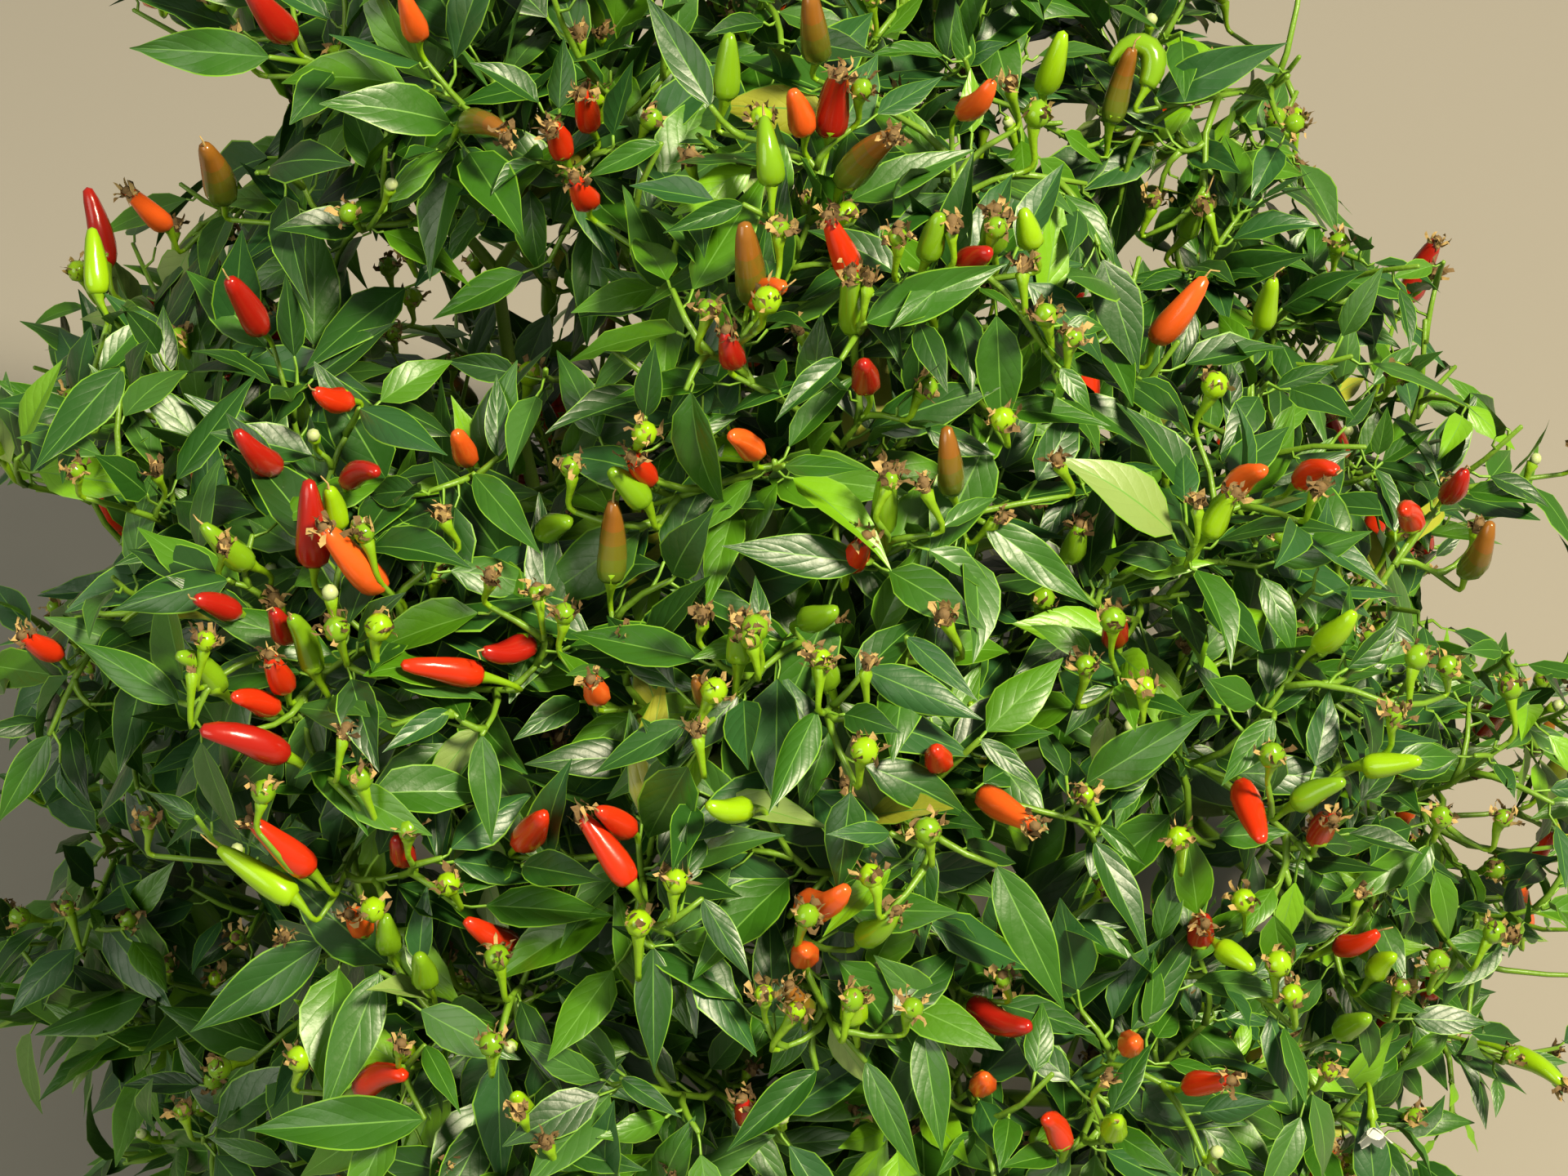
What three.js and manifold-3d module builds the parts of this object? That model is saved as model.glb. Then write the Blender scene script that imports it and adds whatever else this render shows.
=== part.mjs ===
// A bushy chilli pepper plant in fruit, rooted in the ground: a short trunk, boughs that fork from it, and
// masses of twigs, leaves and upright fruit, one at the end of each bough.
// Millimetres. X runs to the right, Y to the back and Z up, from the middle of the trunk's foot on the ground.
import * as THREE from "three";
import { mergeVertices } from "three/addons/utils/BufferGeometryUtils.js";
import Module from "manifold-3d";

// Driving sizes.
const PLANT_HEIGHT = 450;
const CROWN_HALF_WIDTH = 250;
const CROWN_HALF_DEPTH = 225;
const MASS_RADIUS = 86;
const TRUNK_HEIGHT = 88;
const TRUNK_RADIUS = 7.5;
const LEAF_LENGTH = 62;
const FRUIT_LENGTH = 27;

// The masses stand in tiers. A tier's height is a share of the plant's, its radius a share of the crown's half
// width and half depth, and each bearing, in degrees from the right and round by the back, has one mass. The gaps
// between the bearings leave the crown thin at its back left, where its stems show.
const TIERS = [
  { name: "low", height: 0.27, radius: 0.75, bearings: [20, 56, 90, 122, 156, 197, 232, 270, 309, 346] },
  { name: "middle", height: 0.48, radius: 0.73, bearings: [99, 158, 254, 291, 340] },
  { name: "upper", height: 0.61, radius: 0.63, bearings: [15, 191] },
  { name: "inner", height: 0.65, radius: 0.5, bearings: [222, 271, 323] },
  { name: "high", height: 0.73, radius: 0.7, bearings: [44, 136] },
  { name: "top", height: 0.8, radius: 0.38, bearings: [80, 139] },
  { name: "centre", height: 0.79, radius: 0.16, bearings: [284] },
];

// Limbs. Radii shrink from a limb's foot to its tip, and each limb starts a little clear of the one it leaves.
const TRUNK_SWAY = [3, 5];
const TRUNK_TAPER = 0.12;
const TRUNK_SIDES = 12;
const TRUNK_RINGS = 9;
const FLARE_RADIUS = 7;
const FLARE_HEIGHT = 13;
const FLARE_LOBES = 4;
const FLARE_LOBE_DEPTH = 0.22;
const FORK_SHARES = [0.87, 0.91, 0.95, 0.99];
const BOUGH_SHARES = [0.2, 0.3, 0.4, 0.5, 0.6, 0.7, 0.8];
const BOUGH_SIDES = 5;
const BOUGH_RINGS = 4;
const BOUGH_PATH_WEIGHT = 0.4;
const BOUGH_FOOT_SHARE = 0.72;
const BOUGH_TIP_RADIUS = 2.7;
const BOUGH_BEND = 0.4;
const BOUGH_END = 0.7;
const LEAST_ENTRY = 5;
const JOINT_GAP = 0.35;

// The space of a mass: how far its pieces stay from a neighbour's and from the ground.
const SPACE_CLEARANCE = 0.5;
const GROUND_CLEARANCE = 6;
// Edges shorter than SLIVER, and corners nearer to each other than WELD, are closed up once a mass is joined.
const SLIVER = 0.02;
const WELD = 0.001;

// Twigs. A stem runs on from the bough, and a twig runs from it, or from a twig that is there, to each of the
// mass's tips, which lie evenly over the open side of its space.
const STEM_SIDES = 6;
const STEM_SHARE = 0.5;
const STEM_TIP_RADIUS = 1.9;
const SPIRAL_POINTS = 9;
const GOLDEN_ANGLE = Math.PI * (3 - Math.sqrt(5));
const INWARD_LIMIT = -0.45;
const LEAST_REACH = 0.4;
const TIP_DEPTH = 34;
const TIP_SPREAD = 14;
const LEAST_TIP_SHARE = 0.45;
const TWIG_SIDES = 3;
const TWIG_TIP_RADII = [1.1, 0.8];
const FOOT_ON_STEM = 0.7;
const FOOT_ON_TWIG = 0.5;
const JOINTS_ON_TWIG = 9;
const PATH_WEIGHT = 0.3;
const WIDEST_FORK = 1.25;

// Leaves, in places along a twig, each out through one of its three faces. A pair of numbers is the least and
// the most of a chance value: angles in radians, and lengths as shares of LEAF_LENGTH.
const LEAVES_ON_TWIG = 3;
const LEAVES_ON_STEM = 2;
const LEAFY_SHARE = 0.62;
const LEAF_TRIES = 50;
const LENGTH_WEIGHT = 0.6;
const LEAF_ANGLES = [0.5, 1.4];
const LEAF_TURNS = [-0.7, 0.7];
const LEAF_LENGTHS = [0.65, 1.2];
const LEAF_TILT = 0.5;
const LEAF_WIDTH_SHARE = 0.56;
const LEAF_WIDEST = 0.4;
const LEAF_SIDE_DROP = 0.032;
const LEAF_TIP_DROP = 0.12;
const LEAF_RIDGE = 0.18;
const LEAF_RIDGE_RISE = 0.018;
const LEAF_SINK = 0.2;

// Fruit, upright on stalks that thicken towards them.
const FRUIT_ON_MASS = 1;
const FRUIT_TRIES = 14;
const FRUIT_SIDES = 6;
const FRUIT_PLACES = [0.55, 0.95];
const FRUIT_LENGTHS = [0.85, 1.1];
const FRUIT_SWAY = [-0.45, 0.45];
const STALK_LENGTH = 15;
const STALK_RADII = [0.55, 1.7];
// Half width and height of the fruit's outline, as shares of its length, from the stalk to the tip.
const FRUIT_OUTLINE = [
  [0, 0],
  [0.18, 0.22],
  [0.145, 0.7],
  [0, 1],
];

const COLOURS = { bark: "#5b6b35", leaf: "#2f6b2a" };
const UP = new THREE.Vector3(0, 0, 1);

const wasm = await Module();
wasm.setup();

const bark = new THREE.MeshStandardMaterial({ color: COLOURS.bark, roughness: 0.7, metalness: 0 });
const foliage = new THREE.MeshStandardMaterial({ color: COLOURS.leaf, roughness: 0.5, metalness: 0 });

// A closed geometry as a solid that can be joined and cut. Corners nearer to each other than weld become one.
function solidOf(geometry, weld = 1e-4) {
  const bare = geometry.clone();
  bare.deleteAttribute("normal");
  bare.deleteAttribute("uv");
  const merged = mergeVertices(bare, weld);
  const mesh = new wasm.Mesh({
    numProp: 3,
    vertProperties: merged.attributes.position.array,
    triVerts: new Uint32Array(merged.index.array),
  });
  return new wasm.Manifold(mesh);
}

// The largest outer body of a solid, with no sealed hollow and no loose scrap.
function mainBody(solid) {
  const bodies = solid.decompose();
  return bodies.reduce((best, body) => (body.volume() > best.volume() ? body : best));
}

function geometryOf(solid) {
  const { vertProperties, triVerts } = solid.getMesh();
  const geometry = new THREE.BufferGeometry();
  geometry.setAttribute("position", new THREE.BufferAttribute(vertProperties, 3));
  return geometry.setIndex(new THREE.BufferAttribute(triVerts, 1));
}

function meshOf(name, solid, material) {
  const geometry = geometryOf(solid);
  geometry.computeVertexNormals();
  const mesh = new THREE.Mesh(geometry, material);
  mesh.name = name;
  return mesh;
}

// Even random numbers from 0 to 1, the same ones each time for one seed.
function seededRandom(seed) {
  let state = seed;
  return () => {
    state = (state + 0x6d2b79f5) | 0;
    let mixed = Math.imul(state ^ (state >>> 15), 1 | state);
    mixed = (mixed + Math.imul(mixed ^ (mixed >>> 7), 61 | mixed)) ^ mixed;
    return ((mixed ^ (mixed >>> 14)) >>> 0) / 4294967296;
  };
}

// A chance value between the least and the most of a pair.
function between(random, [least, most]) {
  return least + (most - least) * random();
}

// A round limb along a curve. radiusAt takes the share along it and the angle round it.
function limbGeometry(curve, radiusAt, sides, rings) {
  const geometry = new THREE.CylinderGeometry(1, 1, 1, sides, rings);
  const frames = curve.computeFrenetFrames(rings);
  const corners = geometry.attributes.position;
  for (let i = 0; i < corners.count; i++) {
    const share = corners.getY(i) + 0.5;
    const ring = Math.round(share * rings);
    const x = corners.getX(i);
    const z = corners.getZ(i);
    const radius = radiusAt(share, Math.atan2(z, x));
    const place = curve.getPoint(share);
    place.addScaledVector(frames.normals[ring], x * radius);
    place.addScaledVector(frames.binormals[ring], -z * radius);
    corners.setXYZ(i, place.x, place.y, place.z);
  }
  return geometry;
}

// A limb's solid, and a grown copy of it that other solids keep out of.
function makeLimb(name, curve, radiusAt, sides, rings, path, joints) {
  const grownAt = (share, angle) => radiusAt(share, angle) + JOINT_GAP;
  const solid = solidOf(limbGeometry(curve, radiusAt, sides, rings));
  const grown = solidOf(limbGeometry(curve, grownAt, sides, rings));
  return { name, curve, radiusAt, solid, grown, path, length: curve.getLength(), joints: new Set(joints) };
}

// The trunk leans and tapers, and its foot flares into the tops of its roots.
function makeTrunk() {
  const [swayX, swayY] = TRUNK_SWAY;
  const curve = new THREE.CatmullRomCurve3([
    new THREE.Vector3(0, 0, -TRUNK_RADIUS),
    new THREE.Vector3(0, 0, 0),
    new THREE.Vector3(swayX, -swayY / 2, TRUNK_HEIGHT * 0.4),
    new THREE.Vector3(swayX / 2, swayY / 2, TRUNK_HEIGHT * 0.75),
    new THREE.Vector3(swayX, swayY, TRUNK_HEIGHT),
  ]);
  const radiusAt = (share, angle) => {
    const height = Math.max(curve.getPoint(share).z, 0);
    const flare = FLARE_RADIUS * Math.exp(-height / FLARE_HEIGHT);
    const lobes = 1 + FLARE_LOBE_DEPTH * Math.cos(FLARE_LOBES * angle);
    return TRUNK_RADIUS * (1 - TRUNK_TAPER * share) + flare * lobes;
  };
  const trunk = makeLimb("trunk", curve, radiusAt, TRUNK_SIDES, TRUNK_RINGS, 0, FORK_SHARES);
  const below = new THREE.BoxGeometry(200, 200, 100).translate(0, 0, -50);
  trunk.solid = trunk.solid.subtract(solidOf(below));
  return trunk;
}

// How far a mass's space reaches from its middle in one direction: to its ball, or to the plane where a
// neighbour's ball takes over.
function reachOf(mass, direction) {
  let reach = mass.radius;
  for (const other of mass.others) {
    const between = other.middle.clone().sub(mass.middle);
    const toPlane = (between.lengthSq() + mass.radius ** 2 - other.radius ** 2) / (2 * between.length());
    const along = direction.dot(between.normalize());
    if (along > 1e-6) reach = Math.min(reach, (toPlane - SPACE_CLEARANCE) / along);
  }
  return reach;
}

function inSpace(mass, point) {
  const offset = point.clone().sub(mass.middle);
  const distance = offset.length();
  return point.z > GROUND_CLEARANCE && distance < reachOf(mass, offset.normalize());
}

// Tells whether a solid lies in the mass's space. The space is convex, so its corners tell.
function fits(mass, geometry) {
  const corners = geometry.attributes.position;
  const point = new THREE.Vector3();
  for (let i = 0; i < corners.count; i++) {
    if (!inSpace(mass, point.fromBufferAttribute(corners, i))) return false;
  }
  return true;
}

// The best joint for a bough to a mass: near it, by a short way from the trunk, and at no wide angle.
function bestBoughJoint(limbs, mass) {
  let best = null;
  for (const limb of limbs) {
    for (const share of limb.joints) {
      const offset = mass.middle.clone().sub(limb.curve.getPoint(share));
      const isTrunk = limb.name === "trunk";
      const path = limb.path + (isTrunk ? 0 : share * limb.length);
      const cost = offset.length() + BOUGH_PATH_WEIGHT * path;
      const isOpen = isTrunk || offset.angleTo(limb.curve.getTangent(share)) < WIDEST_FORK;
      if (isOpen && (best === null || cost < best.cost)) best = { limb, share, path, cost };
    }
  }
  return best;
}

// A bough leaves its carrier at an angle, bends towards its mass and ends where it enters the foliage.
function makeBough(limbs, mass) {
  const { limb: carrier, share: joint, path } = bestBoughJoint(limbs, mass);
  carrier.joints.delete(joint);
  const start = carrier.curve.getPoint(joint);
  const heading = mass.middle.clone().sub(start).normalize();
  const depth = Math.min(BOUGH_END * mass.radius, reachOf(mass, heading.clone().negate()) - LEAST_ENTRY);
  const end = mass.middle.clone().addScaledVector(heading, -depth);
  const bend = carrier.curve.getTangent(joint).add(heading).normalize();
  const control = start.clone().addScaledVector(bend, BOUGH_BEND * end.distanceTo(start));
  const curve = new THREE.QuadraticBezierCurve3(start, control, end);
  const foot = Math.max(BOUGH_FOOT_SHARE * carrier.radiusAt(joint, 0), BOUGH_TIP_RADIUS * 1.1);
  const radiusAt = (share) => THREE.MathUtils.lerp(foot, BOUGH_TIP_RADIUS, share);
  return makeLimb("bough_" + mass.name, curve, radiusAt, BOUGH_SIDES, BOUGH_RINGS, path, BOUGH_SHARES);
}

// The masses nearest to the fork get their boughs first. Each bough is cut clear of the limbs before it.
function makeLimbs(masses) {
  const limbs = [makeTrunk()];
  const fork = limbs[0].curve.getPoint(1);
  const nearestFirst = masses.toSorted((a, b) => a.middle.distanceTo(fork) - b.middle.distanceTo(fork));
  for (const mass of nearestFirst) {
    const bough = makeBough(limbs, mass);
    for (const earlier of limbs) bough.solid = bough.solid.subtract(earlier.grown);
    bough.solid = mainBody(bough.solid);
    limbs.push(bough);
  }
  return limbs;
}

// The ends of a mass's twigs: directions on an even spiral, less those that face a close neighbour or the
// bare middle of the crown.
function tipsOf(mass, random) {
  const tips = [];
  const turn = random() * Math.PI * 2;
  for (let i = 0; i < SPIRAL_POINTS; i++) {
    const height = 1 - (2 * i + 1) / SPIRAL_POINTS;
    const ring = Math.sqrt(1 - height * height);
    const angle = turn + i * GOLDEN_ANGLE;
    const direction = new THREE.Vector3(ring * Math.cos(angle), ring * Math.sin(angle), height);
    const reach = reachOf(mass, direction);
    const distance = Math.max(reach - TIP_DEPTH - TIP_SPREAD * random(), reach * LEAST_TIP_SHARE);
    if (reach < LEAST_REACH * mass.radius || direction.dot(mass.outward) < INWARD_LIMIT) continue;
    tips.push(mass.middle.clone().addScaledVector(direction, distance));
  }
  return tips;
}

// A straight tapering piece of wood from one point to another.
function makeTwig(start, end, foot, top, path) {
  const along = end.clone().sub(start);
  const length = along.length();
  const turn = new THREE.Quaternion().setFromUnitVectors(new THREE.Vector3(0, 1, 0), along.normalize());
  return { start, end, foot, top, path, along, length, turn, taken: new Set() };
}

function pointOn(twig, share) {
  return twig.start.clone().lerp(twig.end, share);
}

function rodGeometry(twig, sides) {
  const geometry = new THREE.CylinderGeometry(twig.top, twig.foot, twig.length, sides);
  geometry.translate(0, twig.length / 2, 0);
  geometry.applyQuaternion(twig.turn);
  return geometry.translate(twig.start.x, twig.start.y, twig.start.z);
}

// The best joint for a twig to a tip: near it, by a short way from the stem's foot, and at no wide angle.
function bestJoint(twigs, tip) {
  let best = null;
  for (const twig of twigs) {
    for (let joint = 1; joint <= JOINTS_ON_TWIG; joint++) {
      const share = joint / (JOINTS_ON_TWIG + 1);
      const offset = tip.clone().sub(pointOn(twig, share));
      const cost = offset.length() + PATH_WEIGHT * (twig.path + share * twig.length);
      const isFree = !twig.taken.has(joint) && offset.angleTo(twig.along) < WIDEST_FORK;
      if (isFree && (best === null || cost < best.cost)) best = { twig, joint, share, cost };
    }
  }
  return best;
}

// Grows a twig to a tip. It starts on the middle line of its carrier, thin enough to leave through its side.
function growTwig(foliage, tip) {
  const joint = bestJoint(foliage.twigs, tip);
  if (joint === null) return;
  const { twig: carrier, share } = joint;
  const isFirst = carrier === foliage.twigs[0];
  const radius = THREE.MathUtils.lerp(carrier.foot, carrier.top, share);
  const foot = radius * (isFirst ? FOOT_ON_STEM : FOOT_ON_TWIG);
  const top = Math.min(foot, TWIG_TIP_RADII[isFirst ? 0 : 1]);
  const path = carrier.path + share * carrier.length;
  const twig = makeTwig(pointOn(carrier, share), tip, foot, top, path);
  if (!foliage.add([rodGeometry(twig, TWIG_SIDES)], carrier)) return;
  carrier.taken.add(joint.joint);
  foliage.own(twig);
}

// The frame of a piece that points along a direction, with its upper side turned to face a hint.
function facing(direction, hint) {
  const across = new THREE.Vector3().crossVectors(hint, direction).normalize();
  const normal = new THREE.Vector3().crossVectors(direction, across);
  return new THREE.Matrix4().makeBasis(direction, across, normal);
}

// A leaf of six faces: its midrib is a ridge, and its sides and its tip hang below its base.
function leafGeometry(base, direction, hint, length) {
  const outline = [new THREE.Vector2(0, -1), new THREE.Vector2(1, 0), new THREE.Vector2(0, 1)];
  const geometry = new THREE.LatheGeometry(outline, 3);
  const corners = geometry.attributes.position;
  for (let i = 0; i < corners.count; i++) {
    const side = -Math.sign(Math.round(corners.getX(i)));
    const end = corners.getY(i);
    const face = corners.getZ(i);
    const isPole = Math.abs(end) > 0.5;
    const isRidge = !isPole && face > 0.5;
    const along = isPole ? (end + 1) / 2 : isRidge ? LEAF_RIDGE : LEAF_WIDEST;
    const lift = isPole ? (-LEAF_TIP_DROP * (end + 1)) / 2 : isRidge ? LEAF_RIDGE_RISE : -LEAF_SIDE_DROP;
    corners.setXYZ(i, along * length, side * LEAF_WIDTH_SHARE * length * 0.5, lift * length);
  }
  geometry.applyMatrix4(facing(direction, hint));
  return geometry.translate(base.x, base.y, base.z);
}

// A direction that leaves a twig at an angle from its line, at a turn round it.
function leaving(twig, angle, turn) {
  const ring = Math.sin(angle);
  const direction = new THREE.Vector3(ring * Math.sin(turn), Math.cos(angle), ring * Math.cos(turn));
  return direction.applyQuaternion(twig.turn);
}

// The turn round a twig of the middle of one of its faces.
function faceTurn(face) {
  return ((face + 0.5) * Math.PI * 2) / TWIG_SIDES;
}

// An upright fruit on its stalk, which thickens towards it.
function fruitGeometries(base, direction, length) {
  const outline = FRUIT_OUTLINE.map(([x, y]) => new THREE.Vector2(x * length, y * length));
  const foot = base.clone().addScaledVector(direction, STALK_LENGTH);
  const sunk = foot.clone().addScaledVector(direction, length * 0.1);
  const stalk = makeTwig(base, sunk, ...STALK_RADII, 0);
  const body = new THREE.LatheGeometry(outline, FRUIT_SIDES);
  body.applyQuaternion(stalk.turn);
  body.translate(foot.x, foot.y, foot.z);
  return [rodGeometry(stalk, TWIG_SIDES), body];
}

// Collects the pieces of a mass. A piece is taken only where it stays in the space, off the limbs and off
// every piece but the twig that carries it.
class Foliage {
  constructor(mass, limbs) {
    this.mass = mass;
    this.limbs = limbs;
    this.pieces = [];
    this.twigs = [];
  }

  add(geometries, carrier) {
    if (!geometries.every((geometry) => fits(this.mass, geometry))) return false;
    const solids = geometries.map(solidOf);
    const touches = (solid) =>
      !this.limbs.intersect(solid).isEmpty() ||
      this.pieces.some((piece) => piece !== carrier?.solid && !piece.intersect(solid).isEmpty());
    if (solids.some(touches)) return false;
    this.pieces.push(...solids);
    return true;
  }

  // Notes the last piece as the solid of a twig that others can grow from.
  own(twig) {
    twig.solid = this.pieces.at(-1);
    this.twigs.push(twig);
  }

  // Joins the pieces. Corners that all but touch are made one, and what that seals off or cuts loose is dropped.
  fused() {
    const joined = wasm.Manifold.union(this.pieces).simplify(SLIVER);
    return mainBody(solidOf(geometryOf(joined), WELD));
  }
}

// A leaf to try: out through one face of a twig, at a chance angle and with a chance length.
function leafChoice(foliage, twig, place, face, random) {
  const direction = leaving(twig, between(random, LEAF_ANGLES), faceTurn(face) + between(random, LEAF_TURNS));
  const outward = place.clone().sub(foliage.mass.middle).normalize();
  const tilt = new THREE.Vector3(random(), random(), random()).multiplyScalar(LEAF_TILT);
  const hint = UP.clone().add(outward).add(tilt);
  const length = LEAF_LENGTH * between(random, LEAF_LENGTHS);
  const base = place.clone().addScaledVector(direction, -LEAF_SINK);
  const centre = place.clone().addScaledVector(direction, length * 0.5);
  const room = Math.min(...leafCentres.map((other) => other.distanceTo(centre)), LEAF_LENGTH);
  return { base, direction, hint, length, centre, score: room + length * LENGTH_WEIGHT };
}

// Leaves along the outer part of a twig. Of the choices for a leaf, the one with the most room round it that is
// free is taken, so that the leaves cover the crown evenly.
function addLeaves(foliage, twig, count, random) {
  const firstFace = Math.floor(random() * TWIG_SIDES);
  for (let i = 0; i < count; i++) {
    const place = pointOn(twig, 1 - (LEAFY_SHARE * (i + 0.3)) / count);
    const choose = () => leafChoice(foliage, twig, place, firstFace + i, random);
    const choices = Array.from({ length: LEAF_TRIES }, choose);
    choices.sort((a, b) => b.score - a.score);
    const isFree = ({ base, direction, hint, length }) =>
      foliage.add([leafGeometry(base, direction, hint, length)], twig);
    const taken = choices.find(isFree);
    if (taken) leafCentres.push(taken.centre);
  }
}

// One fruit, rising through the face of a twig that looks up most. Tells whether there was room for it.
function addFruit(foliage, twig, random) {
  const faces = [0, 1, 2].map((face) => leaving(twig, Math.PI / 2, faceTurn(face)));
  const up = faces.reduce((best, face) => (face.z > best.z ? face : best));
  for (let attempt = 0; attempt < FRUIT_TRIES; attempt++) {
    const base = pointOn(twig, between(random, FRUIT_PLACES));
    const sway = new THREE.Vector3(between(random, FRUIT_SWAY), between(random, FRUIT_SWAY), 0);
    const direction = up.clone().add(UP).add(sway).normalize();
    const length = FRUIT_LENGTH * between(random, FRUIT_LENGTHS);
    if (foliage.add(fruitGeometries(base, direction, length), twig)) return true;
  }
  return false;
}

// The stem runs on from the bough's end, and everything else grows from it.
function massSolid(mass, bough, obstacles, seed) {
  const random = seededRandom(seed);
  const foliage = new Foliage(mass, obstacles);
  const tangent = bough.curve.getTangent(1);
  const start = bough.curve.getPoint(1).addScaledVector(tangent, JOINT_GAP);
  const stemEnd = start.clone().addScaledVector(tangent, STEM_SHARE * mass.radius);
  const stem = makeTwig(start, stemEnd, BOUGH_TIP_RADIUS, STEM_TIP_RADIUS, 0);
  foliage.pieces.push(solidOf(rodGeometry(stem, STEM_SIDES)));
  foliage.own(stem);
  const tips = tipsOf(mass, random).sort((a, b) => a.distanceTo(start) - b.distanceTo(start));
  for (const tip of tips) growTwig(foliage, tip);
  let fruit = 0;
  for (const twig of foliage.twigs.slice(1)) {
    if (fruit < FRUIT_ON_MASS && addFruit(foliage, twig, random)) fruit += 1;
  }
  for (const twig of foliage.twigs.slice(1)) addLeaves(foliage, twig, LEAVES_ON_TWIG, random);
  addLeaves(foliage, stem, LEAVES_ON_STEM, random);
  return foliage.fused();
}

const CROWN_MIDDLE = new THREE.Vector3(0, 0, PLANT_HEIGHT * 0.3);
const masses = TIERS.flatMap(({ name, height, radius, bearings }) =>
  bearings.map((bearing, i) => {
    const angle = THREE.MathUtils.degToRad(bearing);
    const across = radius * CROWN_HALF_WIDTH * Math.cos(angle);
    const back = radius * CROWN_HALF_DEPTH * Math.sin(angle);
    const middle = new THREE.Vector3(across, back, height * PLANT_HEIGHT);
    const outward = middle.clone().sub(CROWN_MIDDLE).normalize();
    return { name: `${name}_${i + 1}`, middle, outward, radius: MASS_RADIUS };
  }),
);
for (const mass of masses) mass.others = masses.filter((other) => other !== mass);

const leafCentres = [];
const plant = new THREE.Group();
const limbs = makeLimbs(masses);
for (const limb of limbs) plant.add(meshOf(limb.name, limb.solid, bark));
const obstacles = wasm.Manifold.union(limbs.map((limb) => limb.grown));
masses.forEach((mass, i) => {
  const bough = limbs.find((limb) => limb.name === "bough_" + mass.name);
  plant.add(meshOf("mass_" + mass.name, massSolid(mass, bough, obstacles, i + 1), foliage));
});

export default plant;
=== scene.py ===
"""The looks of a bushy chilli pepper plant in fruit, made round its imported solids.

The crown is grown here by the rule of its solids and carried on to finer twigs, which bear the leaves,
the fruit, the buds and the flowers. Metres. X runs to the right, Y to the back and Z up, from the middle
of the trunk's foot.
"""

import math

import bpy
import numpy as np
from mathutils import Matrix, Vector, noise
from numpy.linalg import norm


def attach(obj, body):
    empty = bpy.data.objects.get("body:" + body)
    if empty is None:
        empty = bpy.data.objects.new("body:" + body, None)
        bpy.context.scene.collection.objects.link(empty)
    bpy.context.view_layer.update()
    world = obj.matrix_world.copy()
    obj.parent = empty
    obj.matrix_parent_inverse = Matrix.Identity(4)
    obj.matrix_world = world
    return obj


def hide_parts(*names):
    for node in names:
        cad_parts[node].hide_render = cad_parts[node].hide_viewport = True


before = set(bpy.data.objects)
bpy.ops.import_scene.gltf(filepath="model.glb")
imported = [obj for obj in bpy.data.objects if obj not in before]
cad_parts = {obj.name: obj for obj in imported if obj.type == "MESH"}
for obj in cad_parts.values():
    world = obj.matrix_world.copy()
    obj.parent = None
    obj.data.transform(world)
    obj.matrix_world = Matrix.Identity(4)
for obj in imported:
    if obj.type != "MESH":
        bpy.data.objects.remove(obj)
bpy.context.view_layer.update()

# Driving sizes, as in the solids.
PLANT_HEIGHT = 0.45
CROWN_HALF_WIDTH = 0.25
CROWN_HALF_DEPTH = 0.225
MASS_RADIUS = 0.086
TRUNK_HEIGHT = 0.088
TRUNK_RADIUS = 0.0075

# Tiers of masses: name, height and radius as shares of the plant's, and the masses' bearings in degrees.
TIERS = [
    ("low", 0.27, 0.75, [20, 56, 90, 122, 156, 197, 232, 270, 309, 346]),
    ("middle", 0.48, 0.73, [99, 158, 254, 291, 340]),
    ("upper", 0.61, 0.63, [15, 191]),
    ("inner", 0.65, 0.5, [222, 271, 323]),
    ("high", 0.73, 0.7, [44, 136]),
    ("top", 0.8, 0.38, [80, 139]),
    ("centre", 0.79, 0.16, [284]),
]

# Limbs.
TRUNK_SWAY = (0.003, 0.005)
TRUNK_TAPER = 0.12
FLARE_RADIUS = 0.007
FLARE_HEIGHT = 0.013
FLARE_LOBES = 4
FLARE_LOBE_DEPTH = 0.22
FORK_SHARES = (0.87, 0.91, 0.95, 0.99)
BOUGH_SHARES = (0.2, 0.3, 0.4, 0.5, 0.6, 0.7, 0.8)
BOUGH_PATH_WEIGHT = 0.4
BOUGH_FOOT_SHARE = 0.72
BOUGH_TIP_RADIUS = 0.0027
LEAST_TAPER = 1.1
BOUGH_BEND = 0.4
BOUGH_END = 0.7
LEAST_ENTRY = 0.005
LENGTH_POINTS = 9
TUBE_POINT_SHARE = 0.6

# Spaces and twigs.
HEART_SHARE = 0.3
SPACE_CLEARANCE = 0.0005
GROUND_CLEARANCE = 0.006
LEAST_TIP_HEIGHT = 0.012
STEM_SHARE = 0.5
STEM_TIP_RADIUS = 0.0019
SPIRAL_POINTS = 9
GOLDEN_ANGLE = math.pi * (3 - math.sqrt(5))
INWARD_LIMIT = -0.45
LEAST_REACH = 0.4
TIP_DEPTH = 0.034
TIP_SPREAD = 0.014
LEAST_TIP_SHARE = 0.45
TWIG_TIP_RADII = (0.0011, 0.0008)
FOOT_ON_STEM = 0.7
FOOT_ON_TWIG = 0.5
JOINTS_ON_TWIG = 9
PATH_WEIGHT = 0.3
WIDEST_FORK = 1.25

# Finer twigs, which the solids leave out.
FINE_POINTS = 98
FINE_DEPTHS = (0.006, 0.05)
FINE_FOOT_RADIUS = 0.0011
FINE_TIP_RADIUS = 0.0007
TWIG_BEND = 0.4
TWIG_DROP = 0.07
TWIG_SIDES = 5
TWIG_RINGS = 4

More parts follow.
